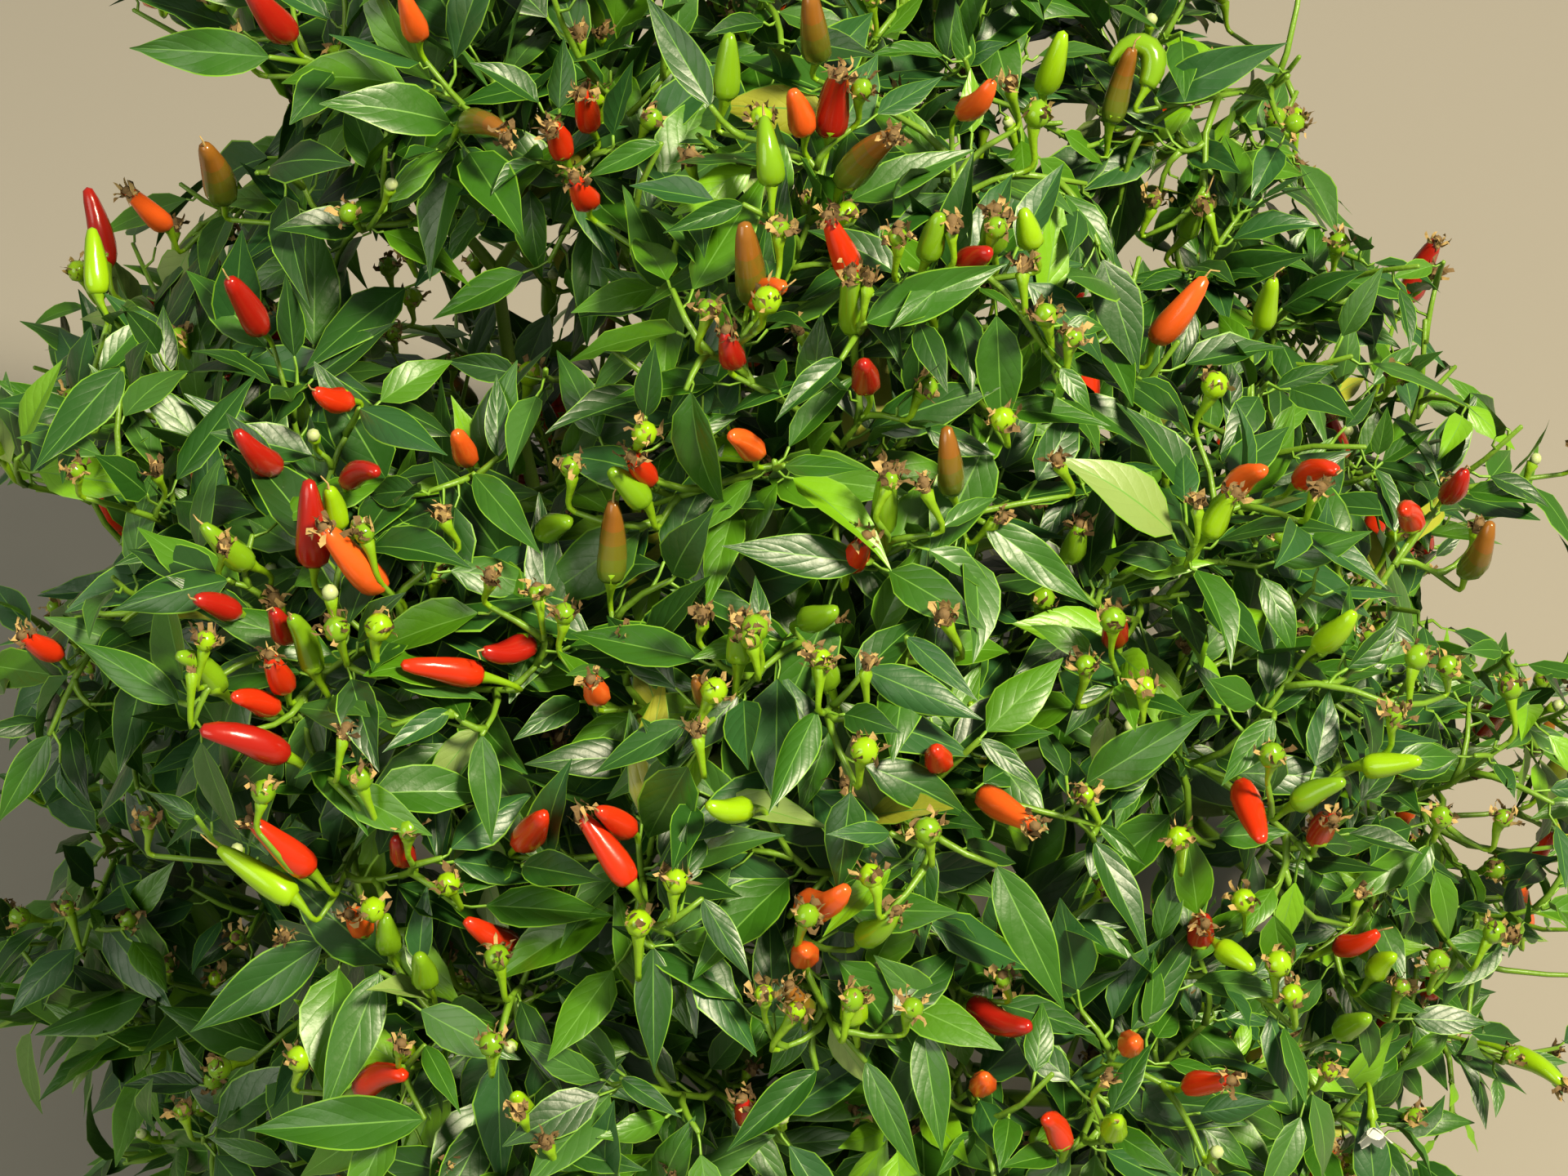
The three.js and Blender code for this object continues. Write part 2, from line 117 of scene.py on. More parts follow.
# Leaves. A pair of numbers is the least and the most of a chance value. Angles are in radians, and the
# shares are the leaves' places along a twig.
LEAF_LENGTHS = (0.018, 0.034)
LONGEST_ON_TWIG = LEAF_LENGTHS[1] * 1.05
LONGEST_LEAF = 0.056
LEAF_WIDTHS = (0.34, 0.47)
LARGE_LEAF_WIDTHS = (0.29, 0.37)
LEAF_SHARES = (1.0, 0.97, 0.78, 0.5)
COARSE_LEAF_SHARES = (0.95, 0.7, 0.45)
LEAF_SIZE_MIDDLE = 1.05
LEAF_SIZE_SLOPE = 1.5
LEAF_SIZES = (0.75, 1.25)
LEAST_ASIDE = -0.1
SMALLER_TRY = 0.75
LARGER_LEAF = 1.04
LEAF_SPREAD = (0.55, 1.25)
SPREAD_CHANCE = 0.4
LEAF_FOLDS = (0.05, 0.6)
LEAF_DROOPS = (0.0, 0.75)
LARGE_LEAF_DROOPS = (0.15, 0.4)
DROOP_POWER = 1.3
LEAF_CURLS = (-0.1, 0.5)
LEAF_WAVES = (0.0, 0.16)
WAVES_ON_LEAF = 2.2
LEAF_TWISTS = (-0.5, 0.5)
PETIOLE_LENGTHS = (0.003, 0.009)
PETIOLE_RADII = (0.00045 * 1.3, 0.00045, 0.00045)
PETIOLE_SAG = 0.0012
PETIOLE_SIDES = 3
LEAF_ROWS = 6
LARGE_LEAF_ROWS = 12
LEAF_BASE_POWER = 0.8
LEAF_TIP_POWER = 1.36
LEAST_HALF_WIDTH = 0.02
LEAF_COLUMNS = np.array([-1, -0.94, -0.5, -0.03, 0.03, 0.5, 0.94, 1])
MARGIN_AND_HIGHLIGHT_SLOT, MIDRIB_SLOT, FIRST_TINT_SLOT = range(3)

# Leaf colours, how often a twig's leaves have each, and how often a single leaf has an odd one.
TINTS = {
    "leaf_deep": (0.015, 0.068, 0.006),
    "leaf_blue": (0.02, 0.083, 0.017),
    "leaf_mid": (0.026, 0.103, 0.004),
    "leaf_fresh": (0.053, 0.164, 0.003),
    "leaf_soft": (0.04, 0.121, 0.016),
    "leaf_dusk": (0.014, 0.054, 0.007),
    "leaf_young": (0.14, 0.33, 0.005),
    "leaf_pale": (0.19, 0.28, 0.07),
    "leaf_yellow": (0.28, 0.3, 0.022),
}
TINT_SHARES = [0.2, 0.17, 0.21, 0.14, 0.1, 0.13, 0.05, 0, 0]
ODD_TINTS = {7: 0.012, 8: 0.01}
# Large leaves take one of the first three tints and none of the paler ones, which is partly painted shade.
LARGE_LEAF_TINTS = 3

# How much things face each way. Leaves: along their twig, up, outward and by chance. Large leaves: up, to
# the camera and by chance. Young fruit and the flower: up in the picture, to the camera and, the fruit
# alone, by chance. What stands at twig ends: along the twig, up and by chance.
LEAF_FACING = (0.5, 0.9, 0.3, 0.9)
LARGE_LEAF_FACING = (0.4, 1, 0.5)
LARGE_LEAF_RISE = 0.12
YOUNG_FACING = (0.8, 0.6, 0.8)
FLOWER_FACING = (-1, 0.5)
TIP_FACING = (0.5, 1, 0.7)

# The photograph's frame in pixels, and the camera that matches it.
PHOTO_WIDTH = 1920
PHOTO_HEIGHT = 1440
CAMERA_ELEVATION = math.radians(50)
CAMERA_DISTANCE = 0.85
CAMERA_LENS = 66
CAMERA_SENSOR = 36
CAMERA_TARGET = np.array([0, 0, 0.23])

# Ground shows here in the photograph: middle and half size of ovals, in its pixels. The crown ends at the
# openings, and bare twigs cross the patches, which lie round its hollow.
OPENINGS = [
    (90, 110, 190, 90), (275, 135, 80, 45), (60, 660, 90, 60), (20, 1060, 50, 40), (1740, 120, 150, 170),
    (1880, 380, 110, 130), (1580, 20, 60, 45), (1800, 720, 60, 50), (1890, 760, 40, 45),
    (1800, 1010, 50, 45), (1890, 1220, 50, 60),
]
PATCHES = [
    (430, 259, 14, 14), (481, 325, 28, 22), (582, 313, 18, 22), (515, 377, 20, 14), (643, 374, 15, 30),
    (683, 359, 16, 26), (762, 395, 30, 16), (714, 475, 18, 18), (460, 383, 20, 16), (512, 426, 18, 20),
    (576, 475, 18, 24), (456, 536, 26, 22),
]
LEAST_COVER = 0.12

# Fruit in the photograph: the stalk's end and the free tip, in its pixels.
RIPE_PIXELS = [
    (355, 42, 318, 0), (512, 44, 503, 2), (130, 325, 105, 225), (204, 277, 168, 240), (320, 404, 296, 348),
    (338, 572, 302, 528), (572, 562, 568, 532), (385, 690, 388, 583), (465, 718, 405, 642),
    (350, 840, 343, 798), (352, 780, 350, 745), (588, 828, 492, 812), (348, 925, 250, 890),
    (335, 868, 298, 850), (288, 750, 250, 733), (380, 1065, 312, 995), (772, 1080, 708, 990),
    (640, 1032, 678, 985), (770, 1018, 735, 985), (495, 1052, 495, 1018), (440, 1335, 510, 1305),
    (445, 1140, 440, 1108), (630, 1155, 575, 1115), (1202, 1325, 1200, 1300), (1382, 1278, 1380, 1262),
    (1192, 1228, 1258, 1242), (918, 1362, 910, 1330), (1302, 1402, 1272, 1355), (985, 1105, 1038, 1072),
    (985, 1175, 985, 1155), (1150, 935, 1142, 912), (1205, 972, 1262, 1005), (1520, 962, 1530, 1025),
    (1612, 1030, 1618, 995), (1468, 1155, 1463, 1118), (1638, 1158, 1678, 1132), (1455, 1328, 1498, 1308),
    (1365, 785, 1355, 745), (1505, 605, 1540, 578), (1590, 592, 1625, 580), (1730, 645, 1700, 628),
    (1772, 605, 1778, 575), (1415, 415, 1472, 340), (1045, 338, 1010, 270), (1015, 165, 1030, 100),
    (985, 160, 970, 118), (1180, 135, 1212, 110), (1175, 328, 1210, 315), (1060, 475, 1055, 450),
    (898, 440, 890, 408), (925, 555, 895, 538), (792, 588, 776, 560), (732, 852, 728, 828),
    (1040, 690, 1060, 655), (650, 785, 595, 795), (70, 800, 45, 775), (722, 245, 708, 225),
    (690, 190, 680, 165), (925, 370, 962, 362), (722, 155, 718, 125), (425, 490, 395, 482),
    (425, 590, 475, 582),
]
GREEN_PIXELS = [
    (888, 120, 895, 45), (945, 225, 935, 140), (1045, 402, 1040, 340), (1080, 650, 1085, 570),
    (1278, 110, 1298, 45), (1135, 315, 1150, 265), (1215, 305, 1215, 262), (1262, 300, 1250, 258),
    (1450, 290, 1472, 240), (1545, 400, 1550, 345), (1478, 655, 1508, 600), (1615, 790, 1648, 745),
    (985, 760, 1025, 745), (1015, 835, 1000, 800), (915, 990, 865, 980), (1055, 1145, 1098, 1105),
    (478, 1160, 480, 1110), (522, 1205, 520, 1160), (642, 1362, 638, 1325), (1362, 1390, 1362, 1362),
    (905, 812, 905, 755), (1495, 1160, 1530, 1182), (1585, 985, 1640, 952), (1670, 938, 1735, 928),
    (1680, 1195, 1700, 1165), (1640, 1265, 1665, 1235), (1850, 1290, 1905, 1325), (360, 1100, 262, 1035),
    (385, 822, 368, 752), (412, 645, 410, 598), (305, 690, 258, 640), (270, 845, 230, 800),
    (120, 360, 112, 275), (790, 615, 748, 575), (665, 655, 705, 640), (1045, 1250, 1045, 1205),
    (1310, 680, 1318, 640),
]
TURNING_PIXELS = [
    (748, 712, 755, 610), (1360, 150, 1382, 65), (1398, 300, 1412, 210), (1795, 700, 1805, 635),
    (870, 855, 855, 825), (922, 365, 912, 278), (1165, 600, 1155, 520), (570, 150, 632, 182),
    (1000, 70, 990, 0), (1032, 225, 1095, 178), (985, 1235, 965, 1195), (275, 245, 270, 190),
]
# The middle line of the one pod that hangs over like a hook, and its half width along that line.
HOOKED_PIXELS = [(1404, 106), (1413, 84), (1411, 62), (1392, 52), (1372, 60), (1360, 78)]
HOOKED_RADII = (0.0024, 0.0035, 0.0036, 0.0031, 0.0022, 0.0013)
# Large leaves in the photograph: the blade's base and tip.
LEAF_PIXELS = [
    (395, 1155, 245, 1270), (465, 1190, 400, 1370), (520, 1370, 305, 1400), (800, 1160, 800, 1310),
    (860, 1100, 915, 1200), (1000, 1310, 897, 1410), (1060, 1300, 1120, 1440), (1130, 1260, 1150, 1410),
    (1220, 1060, 1300, 1240), (1340, 1030, 1408, 1170), (1330, 960, 1480, 880), (1060, 395, 1230, 335),
    (1205, 640, 1330, 745), (1060, 820, 1195, 888), (1110, 780, 1190, 860), (1000, 870, 945, 995),
    (870, 130, 790, 0), (810, 175, 720, 220), (910, 250, 820, 290), (1030, 440, 955, 515),
    (1060, 690, 890, 680), (280, 710, 140, 750), (220, 860, 90, 790), (150, 450, 50, 580),
    (330, 70, 160, 70), (1415, 120, 1570, 60), (590, 900, 600, 1030), (550, 870, 475, 925),
    (840, 885, 730, 950), (580, 580, 655, 680), (610, 560, 608, 460), (790, 510, 800, 425),
    (960, 570, 1055, 580), (1090, 1020, 1020, 1025), (1200, 905, 1270, 965), (760, 1320, 830, 1370),
    (640, 1060, 735, 1085), (1180, 330, 1100, 400), (440, 500, 535, 555), (60, 900, 0, 1010),
    (520, 1280, 560, 1360), (240, 1000, 180, 975), (1345, 1010, 1400, 1060), (1560, 880, 1500, 960),
]
# Withered flowers in the photograph, most of them on a young fruit, and its one open flower.
YOUNG_PIXELS = [
    (865, 365), (1085, 575), (1135, 580), (785, 515), (1100, 275), (1165, 262), (1215, 265), (1252, 312),
    (1282, 372), (1480, 240), (860, 740), (922, 770), (415, 755), (450, 640), (460, 757), (660, 712),
    (275, 652), (250, 772), (420, 882), (235, 802), (445, 942), (500, 1002), (552, 1065), (182, 990),
    (86, 1096), (782, 1120), (825, 1068), (1005, 795), (1055, 905), (868, 835), (855, 882), (1298, 548),
    (1332, 958), (1138, 1005), (1556, 912), (1730, 795), (1772, 802), (1850, 832), (1610, 582), (1806, 628),
    (1072, 1062), (1040, 1212), (1112, 1218), (970, 1222), (612, 1160), (1562, 1168), (1582, 1202),
    (1712, 1192), (1822, 1128), (1352, 1302), (1526, 1088), (1662, 1078), (1762, 985), (1836, 985),
    (490, 1262), (602, 1265), (672, 1382), (366, 1285), (226, 1345), (640, 1345), (350, 1132), (1466, 602),
    (1482, 462), (1238, 88), (1266, 132), (936, 132), (1052, 95), (1410, 232), (1062, 330), (935, 355),
    (1310, 400), (1400, 830), (1330, 800), (1760, 1160), (985, 1105), (1060, 800), (1160, 740), (700, 560),
    (545, 615), (600, 690), (690, 740), (320, 960), (95, 560), (1230, 1180), (1445, 1010), (1705, 860),
]
FLOWER_PIXEL = (1680, 1345)
# Ends of leafy twigs in a part of the crown that the rule leaves too open.
SPRAY_PIXELS = [
    (1300, 150), (1345, 175), (1390, 170), (1440, 185), (1330, 225), (1370, 250), (1420, 235), (1465, 240),
    (1345, 300), (1395, 315), (1440, 290), (1490, 300), (1420, 350), (1370, 355), (1470, 350), (1520, 260),
]
# The forked stem that shows in the hollow: pixel and depth of its foot, its fork and the tips of its arms.
HOLLOW_STEM = [(642, 590, 0.975), (608, 334, 0.895), (539, 258, 0.872), (660, 262, 0.868)]
HOLLOW_STEM_RADII = (0.0026, 0.0021, 0.0015)
HOLLOW_STEM_ARCH = 0.004
HOLLOW_STEM_SIDES = 10
HOLLOW_STEM_RINGS = 12

# How far behind the crown's front things from the photograph stand, and how many pixels round them are
# kept free of leaves in front.
FRUIT_DEPTH = 0.01
YOUNG_DEPTH = 0.007
YOUNG_DROP = 24
SPRAY_DEPTH = 0.02
LEAF_BASE_DEPTH = 0.014
LEAF_TIP_DEPTH = 0.005
MOST_LEAF_SLANT = 0.012
FRONT_DEPTH = 0.12
FRUIT_VIEW_PIXELS = 30
LEAF_VIEW_PIXELS = 22
YOUNG_VIEW_PIXELS = 16
VIEW_MARGIN = 0.004

# Fruit. An outline has places along it and half widths there, as shares of its length and its widest half
# width. A fruit that looks short in the photograph is smaller, and partly turned to the camera.
POD_OUTLINE = [
    (0, 0.62), (0.05, 0.86), (0.14, 0.99), (0.28, 1), (0.45, 0.91), (0.63, 0.77), (0.81, 0.6), (0.94, 0.38),
]
BALL_OUTLINE = [(0, 0.35), (0.1, 0.66), (0.28, 0.93), (0.5, 1), (0.72, 0.9), (0.9, 0.58), (0.98, 0.22)]
POD_DENT = 0.055
DENT_TURN = 6
POD_BEND = 0.26
POD_WIDTH_SHARE = (0.3, 0.36)
POD_WIDTHS = (0.0066, 0.0092)
POD_SIDES = 10
BALL_SIDES = 8
RIPE_LENGTHS = (0.019, 0.026)
GREEN_LENGTHS = (0.014, 0.023)
BALL_LENGTHS = (0.0045, 0.007)
BUD_LENGTHS = (0.0025, 0.004)
SHORT_SEEN = 0.011
SHORT_FRUIT = 0.75
LONGEST_FRUIT = 0.028
FRUIT_STANDING = 0.7

# Stalks: radii along them, and the calyx as places past the stalk's end and shares of the calyx's width.
STALK_LENGTHS = (0.007, 0.013)
STALK_SIDES = 6
STALK_BEND = 0.4
STALK_UPTURN = 0.4
STALK_OUTTURN = 0.3
HOOKED_UPTURN = 0.3
STALK_OUTLINE = [(0, 0.0007), (0.2, 0.00072), (0.4, 0.00078), (0.6, 0.0009), (0.8, 0.0012), (1, 0.0018)]
CALYX_OUTLINE = [(0.001, 0.85), (0.003, 1.06)]
CALYX_SHARE = 0.62
POD_CALYX = 0.0042
FLOWER_CALYX = 0.0014
WITHERED_CALYX = 0.0016
BUD_CALYX = 0.0012
YOUNG_CALYX_SHARE = 0.45

# Withered flowers: a dry tube and crumpled strips, in shares of their size. The dry thread at a pod's tip:
# places past the tip and radii there.
SCRAP_LENGTHS = (0.008, 0.011)
SCRAP_SHARE = 0.35
SCRAP_SHARE_AT_TIPS = 0.4
SCRAP_STRIPS = 14
SCRAP_ROWS = 3
SCRAP_TUBE = [(-0.3, 0.12), (0.1, 0.15)]
SCRAP_TUBE_SIDES = 6
SCRAP_CORE = 0.2
SCRAP_BACK = 0.25
SCRAP_RING = 0.12
SCRAP_ROOM = 0.3
SCRAP_PULL = 2
SCRAP_STEP = 0.14
SCRAP_CRUMPLE = 1.9
STRIP_WIDTHS = (0.045, 0.105)
STRIP_SPACING_CHANCE = 0.8
STRIP_SPREAD = 0.4
STRIP_RISE = 1.3
BARE_SHARE = 0.3
BARE_RISE = 0.003
POD_SCRAP_SIZE = 0.0092
POD_SCRAP_RING = 0.2
POD_SCRAP_BACK = 0.001
YOUNG_SCRAP_SIZE = 0.0095
YOUNG_SCRAP_RING = 0.25
YOUNG_SCRAP_PLACE = 0.7
THREAD_SHARE = 0.35
THREAD_OUTLINE = [(-0.001, 0.0004), (0.0015, 0.00025), (0.003, 0.0002)]
THREAD_BEND = 0.004
THREAD_SIDES = 4

# The open flower. A petal's outline has places along it and half widths there, as shares of the most.
PETALS = 5
PETAL_OUTLINE = [(0.12, 0.3), (0.35, 0.8), (0.6, 1), (0.82, 0.75), (1, 0.12)]
PETAL_REACH = 0.0052
PETAL_RISE = 0.0055
PETAL_HALF_WIDTH = 0.0024
PETAL_CUP = 0.0006
FLOWER_RISE = 0.002
ANTHER_RING = 0.0013
ANTHER_RISE = 0.0012
ANTHER_LENGTH = 0.0016
ANTHER_RADIUS = 0.0004
ANTHER_SIDES = 5

# What stands at twig ends, how often, and how long it is. The last is nothing.
YOUNG, BUD, WITHERED, RIPE, GREEN, NOTHING = range(6)
TIP_SHARES = (0.2, 0.1, 0.14, 0.15, 0.13, 0.28)
TIP_LENGTHS = (BALL_LENGTHS, BUD_LENGTHS, SCRAP_LENGTHS, RIPE_LENGTHS, GREEN_LENGTHS, BUD_LENGTHS)

# Slots of the materials. A turning pod has one for each band along it.
SCARLET, CRIMSON, ORANGE, LIME, GRASS, TURNING = range(6)
RIPE_SLOTS = (SCARLET, SCARLET, CRIMSON, ORANGE)
GREEN_SLOTS = (LIME, GRASS)
YOUNG_SLOTS = (LIME, GRASS, GRASS)
GREEN_TIP_SLOTS = (LIME, GRASS, GRASS, TURNING)
TURNING_COLOURS = [(0.085, 0.15, 0.009), (0.1, 0.135, 0.01), (0.125, 0.11, 0.01), (0.23, 0.09, 0.011)]
TURNING_STEPS = 6
TWIG_SLOT, PETIOLE_SLOT = range(2)
TAN_SLOT, DARK_SLOT = range(2)
PETAL_SLOT, ANTHER_SLOT, BUD_SLOT = range(3)
TRUNK_SLOT, OLD_SLOT, BOUGH_SLOT = range(3)

# Bark. The trunk is woody, knotted and furrowed. The boughs are smooth, faintly ridged, swollen at their
# nodes and browner where they are thick.
TRUNK_SIDES = 48
TRUNK_RINGS = 70
TRUNK_CAP_RISE = 0.003
TRUNK_CAP_SHARE = 0.6
KNOT_DEPTH = 0.12
KNOTS_ROUND = 2.2
KNOTS_ALONG = 5.0
FURROWS = 13
FURROW_DEPTH = 0.045
FURROW_TWIST = 2.0
FURROW_WANDER = 2.5
WANDER_SCALE = 0.7
ROUGH_DEPTH = 0.05
ROUGH_SCALE = 4
BOUGH_SIDES = 20
BOUGH_RINGS = 18
NODE_SPACING = 0.028
NODE_SWELLING = 0.1
NODE_WIDTH = 0.003
RIDGES = 5
RIDGE_DEPTH = 0.045
OLD_RADIUS = 0.0038

# The studio.
FLOOR_HALF_WIDTH = 9.0
FLOOR_COLOUR = (0.3, 0.275, 0.24)
SKY_COLOUR = (0.94, 0.97, 0.84, 1)
SKY_STRENGTH = 0.3

# Seeds.
PHOTO_SEED = 7
FIRST_MASS_SEED = 100

UP = np.array([0.0, 0.0, 1.0])


def unit(vector):
    return vector / max(norm(vector), 1e-12)


def side_of(direction):
    """Some direction square to another."""
    helper = np.array([1.0, 0, 0]) if abs(direction[0]) < 0.8 else np.array([0, 1.0, 0])
    return unit(np.cross(direction, helper))


def around(axis, angle):
    """The direction square to an axis at an angle round it."""
    side = side_of(axis)
    return math.cos(angle) * side + math.sin(angle) * np.cross(axis, side)


def ring_angles(sides):
    return np.arange(sides) * 2 * math.pi / sides


def between(rng, pair):
    return pair[0] + (pair[1] - pair[0]) * rng.random()


def jitter(rng, size):
    """A chance offset to any side."""
    return (rng.random(3) - 0.5) * size


class Chance:
    """Even random numbers from 0 to 1, the same ones that the solids' rule draws for one seed."""

    def __init__(self, seed):
        self.state = seed

    def number(self):
        mask = 0xFFFFFFFF
        self.state = (self.state + 0x6D2B79F5) & mask
        mixed = ((self.state ^ (self.state >> 15)) * (1 | self.state)) & mask
        mixed = ((mixed + (((mixed ^ (mixed >> 7)) * (61 | mixed)) & mask)) ^ mixed) & mask
        return (mixed ^ (mixed >> 14)) / 2**32


class Bent:
    """A limb or twig along a bent line, tapering from its foot to its top."""

    def __init__(self, start, control, end, foot, top, path=0.0):
        self.start, self.control, self.end = start, control, end
        self.foot, self.top, self.path = foot, top, path
        line = np.array([self.point(share) for share in np.linspace(0, 1, LENGTH_POINTS)])
        self.length = norm(np.diff(line, axis=0), axis=1).sum()

    def point(self, share):
        rest = 1 - share
        return rest * rest * self.start + 2 * rest * share * self.control + share * share * self.end

    def direction(self, share):
        return unit((1 - share) * (self.control - self.start) + share * (self.end - self.control))

    def radius(self, share):
        return self.foot + (self.top - self.foot) * share


class Trunk:
    """The trunk: a swaying line from under the ground to the fork, with a flared foot."""

    foot_share = 0.25
    path = 0.0
    length = TRUNK_HEIGHT + TRUNK_RADIUS

    def __init__(self):
        sway_x, sway_y = TRUNK_SWAY
        line = np.array([
            (0, 0, -TRUNK_RADIUS),
            (0, 0, 0),
            (sway_x, -sway_y / 2, TRUNK_HEIGHT * 0.4),
            (sway_x / 2, sway_y / 2, TRUNK_HEIGHT * 0.75),
            (sway_x, sway_y, TRUNK_HEIGHT),
        ])
        self.points = np.array([2 * line[0] - line[1], *line, 2 * line[-1] - line[-2]])

    def point(self, share):
        """A point of the centripetal curve from the second of the trunk's points to the last but one."""
        spans = len(self.points) - 3
        place = min(max(share, 0.0), 1.0) * spans
        i = min(int(place), spans - 1)
        before, p1, p2, after = self.points[i : i + 4]
        gap0, gap1, gap2 = (math.sqrt(norm(step)) for step in (p1 - before, p2 - p1, after - p2))
        slope1 = ((p1 - before) / gap0 - (p2 - before) / (gap0 + gap1) + (p2 - p1) / gap1) * gap1
        slope2 = ((p2 - p1) / gap1 - (after - p1) / (gap1 + gap2) + (after - p2) / gap2) * gap1
        square = 3 * (p2 - p1) - 2 * slope1 - slope2
        cube = 2 * (p1 - p2) + slope1 + slope2
        t = place - i
        return p1 + slope1 * t + square * t**2 + cube * t**3

    def direction(self, share):
        return unit(self.point(min(share + 1e-3, 1.0)) - self.point(share - 1e-3))

    def radius(self, share, angle=0.0):
        height = max(self.point(share)[2], 0)
        flare = FLARE_RADIUS * math.exp(-height / FLARE_HEIGHT)
        lobes = 1 + FLARE_LOBE_DEPTH * math.cos(FLARE_LOBES * angle)
        return TRUNK_RADIUS * (1 - TRUNK_TAPER * share) + flare * lobes


class Pile:
    """Faces and their materials and leaf places, gathered to become one mesh."""

    def __init__(self):
        self.points, self.faces, self.slots, self.places = [], [], [], []
        self.count = 0

    def add(self, points, faces, slot, places=None):
        """Takes points, arrays of faces with as many corners each, and one slot or one for each face."""
        for block in faces:
            self.faces.append(block + self.count)
        total = sum(len(block) for block in faces)
        self.slots.append(np.broadcast_to(slot, (total,)))
        self.points.append(points)
        self.places.append(np.zeros((len(points), 2)) if places is None else places)
        self.count += len(points)

    def build(self, name, materials):
        mesh = bpy.data.meshes.new(name)
        faces = [face for block in self.faces for face in block.tolist()]
        mesh.from_pydata(np.concatenate(self.points), [], faces, shade_flat=False)
        mesh.polygons.foreach_set("material_index", np.concatenate(self.slots))
        corners = np.concatenate([block.ravel() for block in self.faces])
        layer = mesh.uv_layers.new(name="place")
        layer.data.foreach_set("uv", np.concatenate(self.places)[corners].ravel())
        for material in materials:
            mesh.materials.append(material)
        mesh.validate()
        return place_object(name, mesh)


def place_object(name, data):
    placed = bpy.data.objects.new(name, data)
    bpy.context.scene.collection.objects.link(placed)
    return placed


def ring_faces(rings, sides):
    """The quads of a tube's wall."""
    ring, side = (axis.ravel() for axis in np.indices((rings - 1, sides)))
    after = (side + 1) % sides
    low, high = ring * sides, (ring + 1) * sides
    return np.stack([low + side, low + after, high + after, high + side], 1)


def tube(pile, centres, radii, sides, slot, cap_foot=False, is_level=False):
    """A tube with a point at its end. A ring has one radius, or one for each of its corners."""
    centres, radii = np.asarray(centres), np.asarray(radii)
    rings = len(centres)
    tangents = np.tile(UP, (rings, 1)) if is_level else np.gradient(centres, axis=0)
    side = side_of(unit(tangents[0]))
    angles = ring_angles(sides)[:, None]
    points = []
    for i in range(rings):
        tangent = unit(tangents[i])
        side = unit(side - tangent * (side @ tangent))
        across = np.cross(tangent, side)
        radius = np.broadcast_to(radii[i], (sides,))[:, None]
        points.append(centres[i] + radius * (np.cos(angles) * side + np.sin(angles) * across))
    points.append([centres[-1] + unit(tangents[-1]) * np.mean(radii[-1]) * TUBE_POINT_SHARE])
    corners = np.arange(sides)
    after = (corners + 1) % sides
    last = (rings - 1) * sides
    end = np.full(sides, rings * sides)
    faces = [ring_faces(rings, sides), np.stack([last + corners, last + after, end], 1)]
    if cap_foot:
        points.append([centres[0]])
        faces.append(np.stack([after, corners, end + 1], 1))
    if not np.isscalar(slot):
        ends = sum(len(block) for block in faces[1:])
        slot = np.concatenate([np.repeat(slot, sides), np.full(ends, slot[-1])])
    pile.add(np.concatenate(points), faces, slot)


class Mass:
    """One mass of foliage: its space, its twigs, the joints on them that are free, and its faces."""

    def __init__(self, name, middle):
        self.name, self.middle = name, middle
        self.outward = unit(middle - UP * (PLANT_HEIGHT * HEART_SHARE))
        self.twigs, self.joints, self.piles = [], [], {}

    def keep_from(self, masses):
        offsets = np.array([other.middle - self.middle for other in masses if other is not self])
        distances = norm(offsets, axis=1)
        self.facing = offsets / distances[:, None]
        self.planes = distances / 2 - SPACE_CLEARANCE

    def reach(self, direction):
        along = self.facing @ direction
        ahead = along > 1e-6
        return min(MASS_RADIUS, (self.planes[ahead] / along[ahead]).min(initial=MASS_RADIUS))

    def pile(self, kind):
        return self.piles.setdefault(kind, Pile())

    def draw_twig(self, twig, sides=TWIG_SIDES, rings=TWIG_RINGS):
        shares = np.linspace(0, 1, rings)
        centres = [twig.point(share) for share in shares]
        radii = [twig.radius(share) for share in shares]
        tube(self.pile("twigs"), centres, radii, sides, TWIG_SLOT, cap_foot=True)

    def take(self, twig):
        """Draws a twig and keeps its joints for further ones."""
        self.draw_twig(twig)
        self.twigs.append(twig)
        for joint in range(1, JOINTS_ON_TWIG + 1):
            share = joint / (JOINTS_ON_TWIG + 1)
            path = twig.path + share * twig.length
            self.joints.append((twig.point(share), twig.direction(share), path, twig, share))

    def start_stem(self, bough):
        end = bough.end + bough.direction(1.0) * STEM_SHARE * MASS_RADIUS
        self.take(Bent(bough.end, (bough.end + end) / 2, end, BOUGH_TIP_RADIUS, STEM_TIP_RADIUS))

    def grow(self, tip, is_fine=True):
        """Grows a twig to a tip from the best joint: near it, by a short way, and at no wide angle."""
        points, directions, paths = (np.array(column) for column in list(zip(*self.joints))[:3])
        offsets = tip - points
        distances = norm(offsets, axis=1)
        turns = np.einsum("ij,ij->i", offsets, directions) / np.maximum(distances, 1e-9)
        costs = distances + PATH_WEIGHT * paths
        costs[turns < math.cos(WIDEST_FORK)] = math.inf
        best = int(costs.argmin())
        if costs[best] == math.inf:
            return None
        start, leaving, path, carrier, share = self.joints.pop(best)
        is_on_stem = carrier is self.twigs[0]
        radius = carrier.radius(share) * (FOOT_ON_STEM if is_on_stem else FOOT_ON_TWIG)
        foot = max(radius, FINE_FOOT_RADIUS)
        top = FINE_TIP_RADIUS if is_fine else min(foot, TWIG_TIP_RADII[0 if is_on_stem else 1])
        bend = unit(leaving + unit(tip - start)) * TWIG_BEND - UP * TWIG_DROP
        twig = Bent(start, start + bend * distances[best], tip, foot, top, path)
        self.take(twig)
        return twig


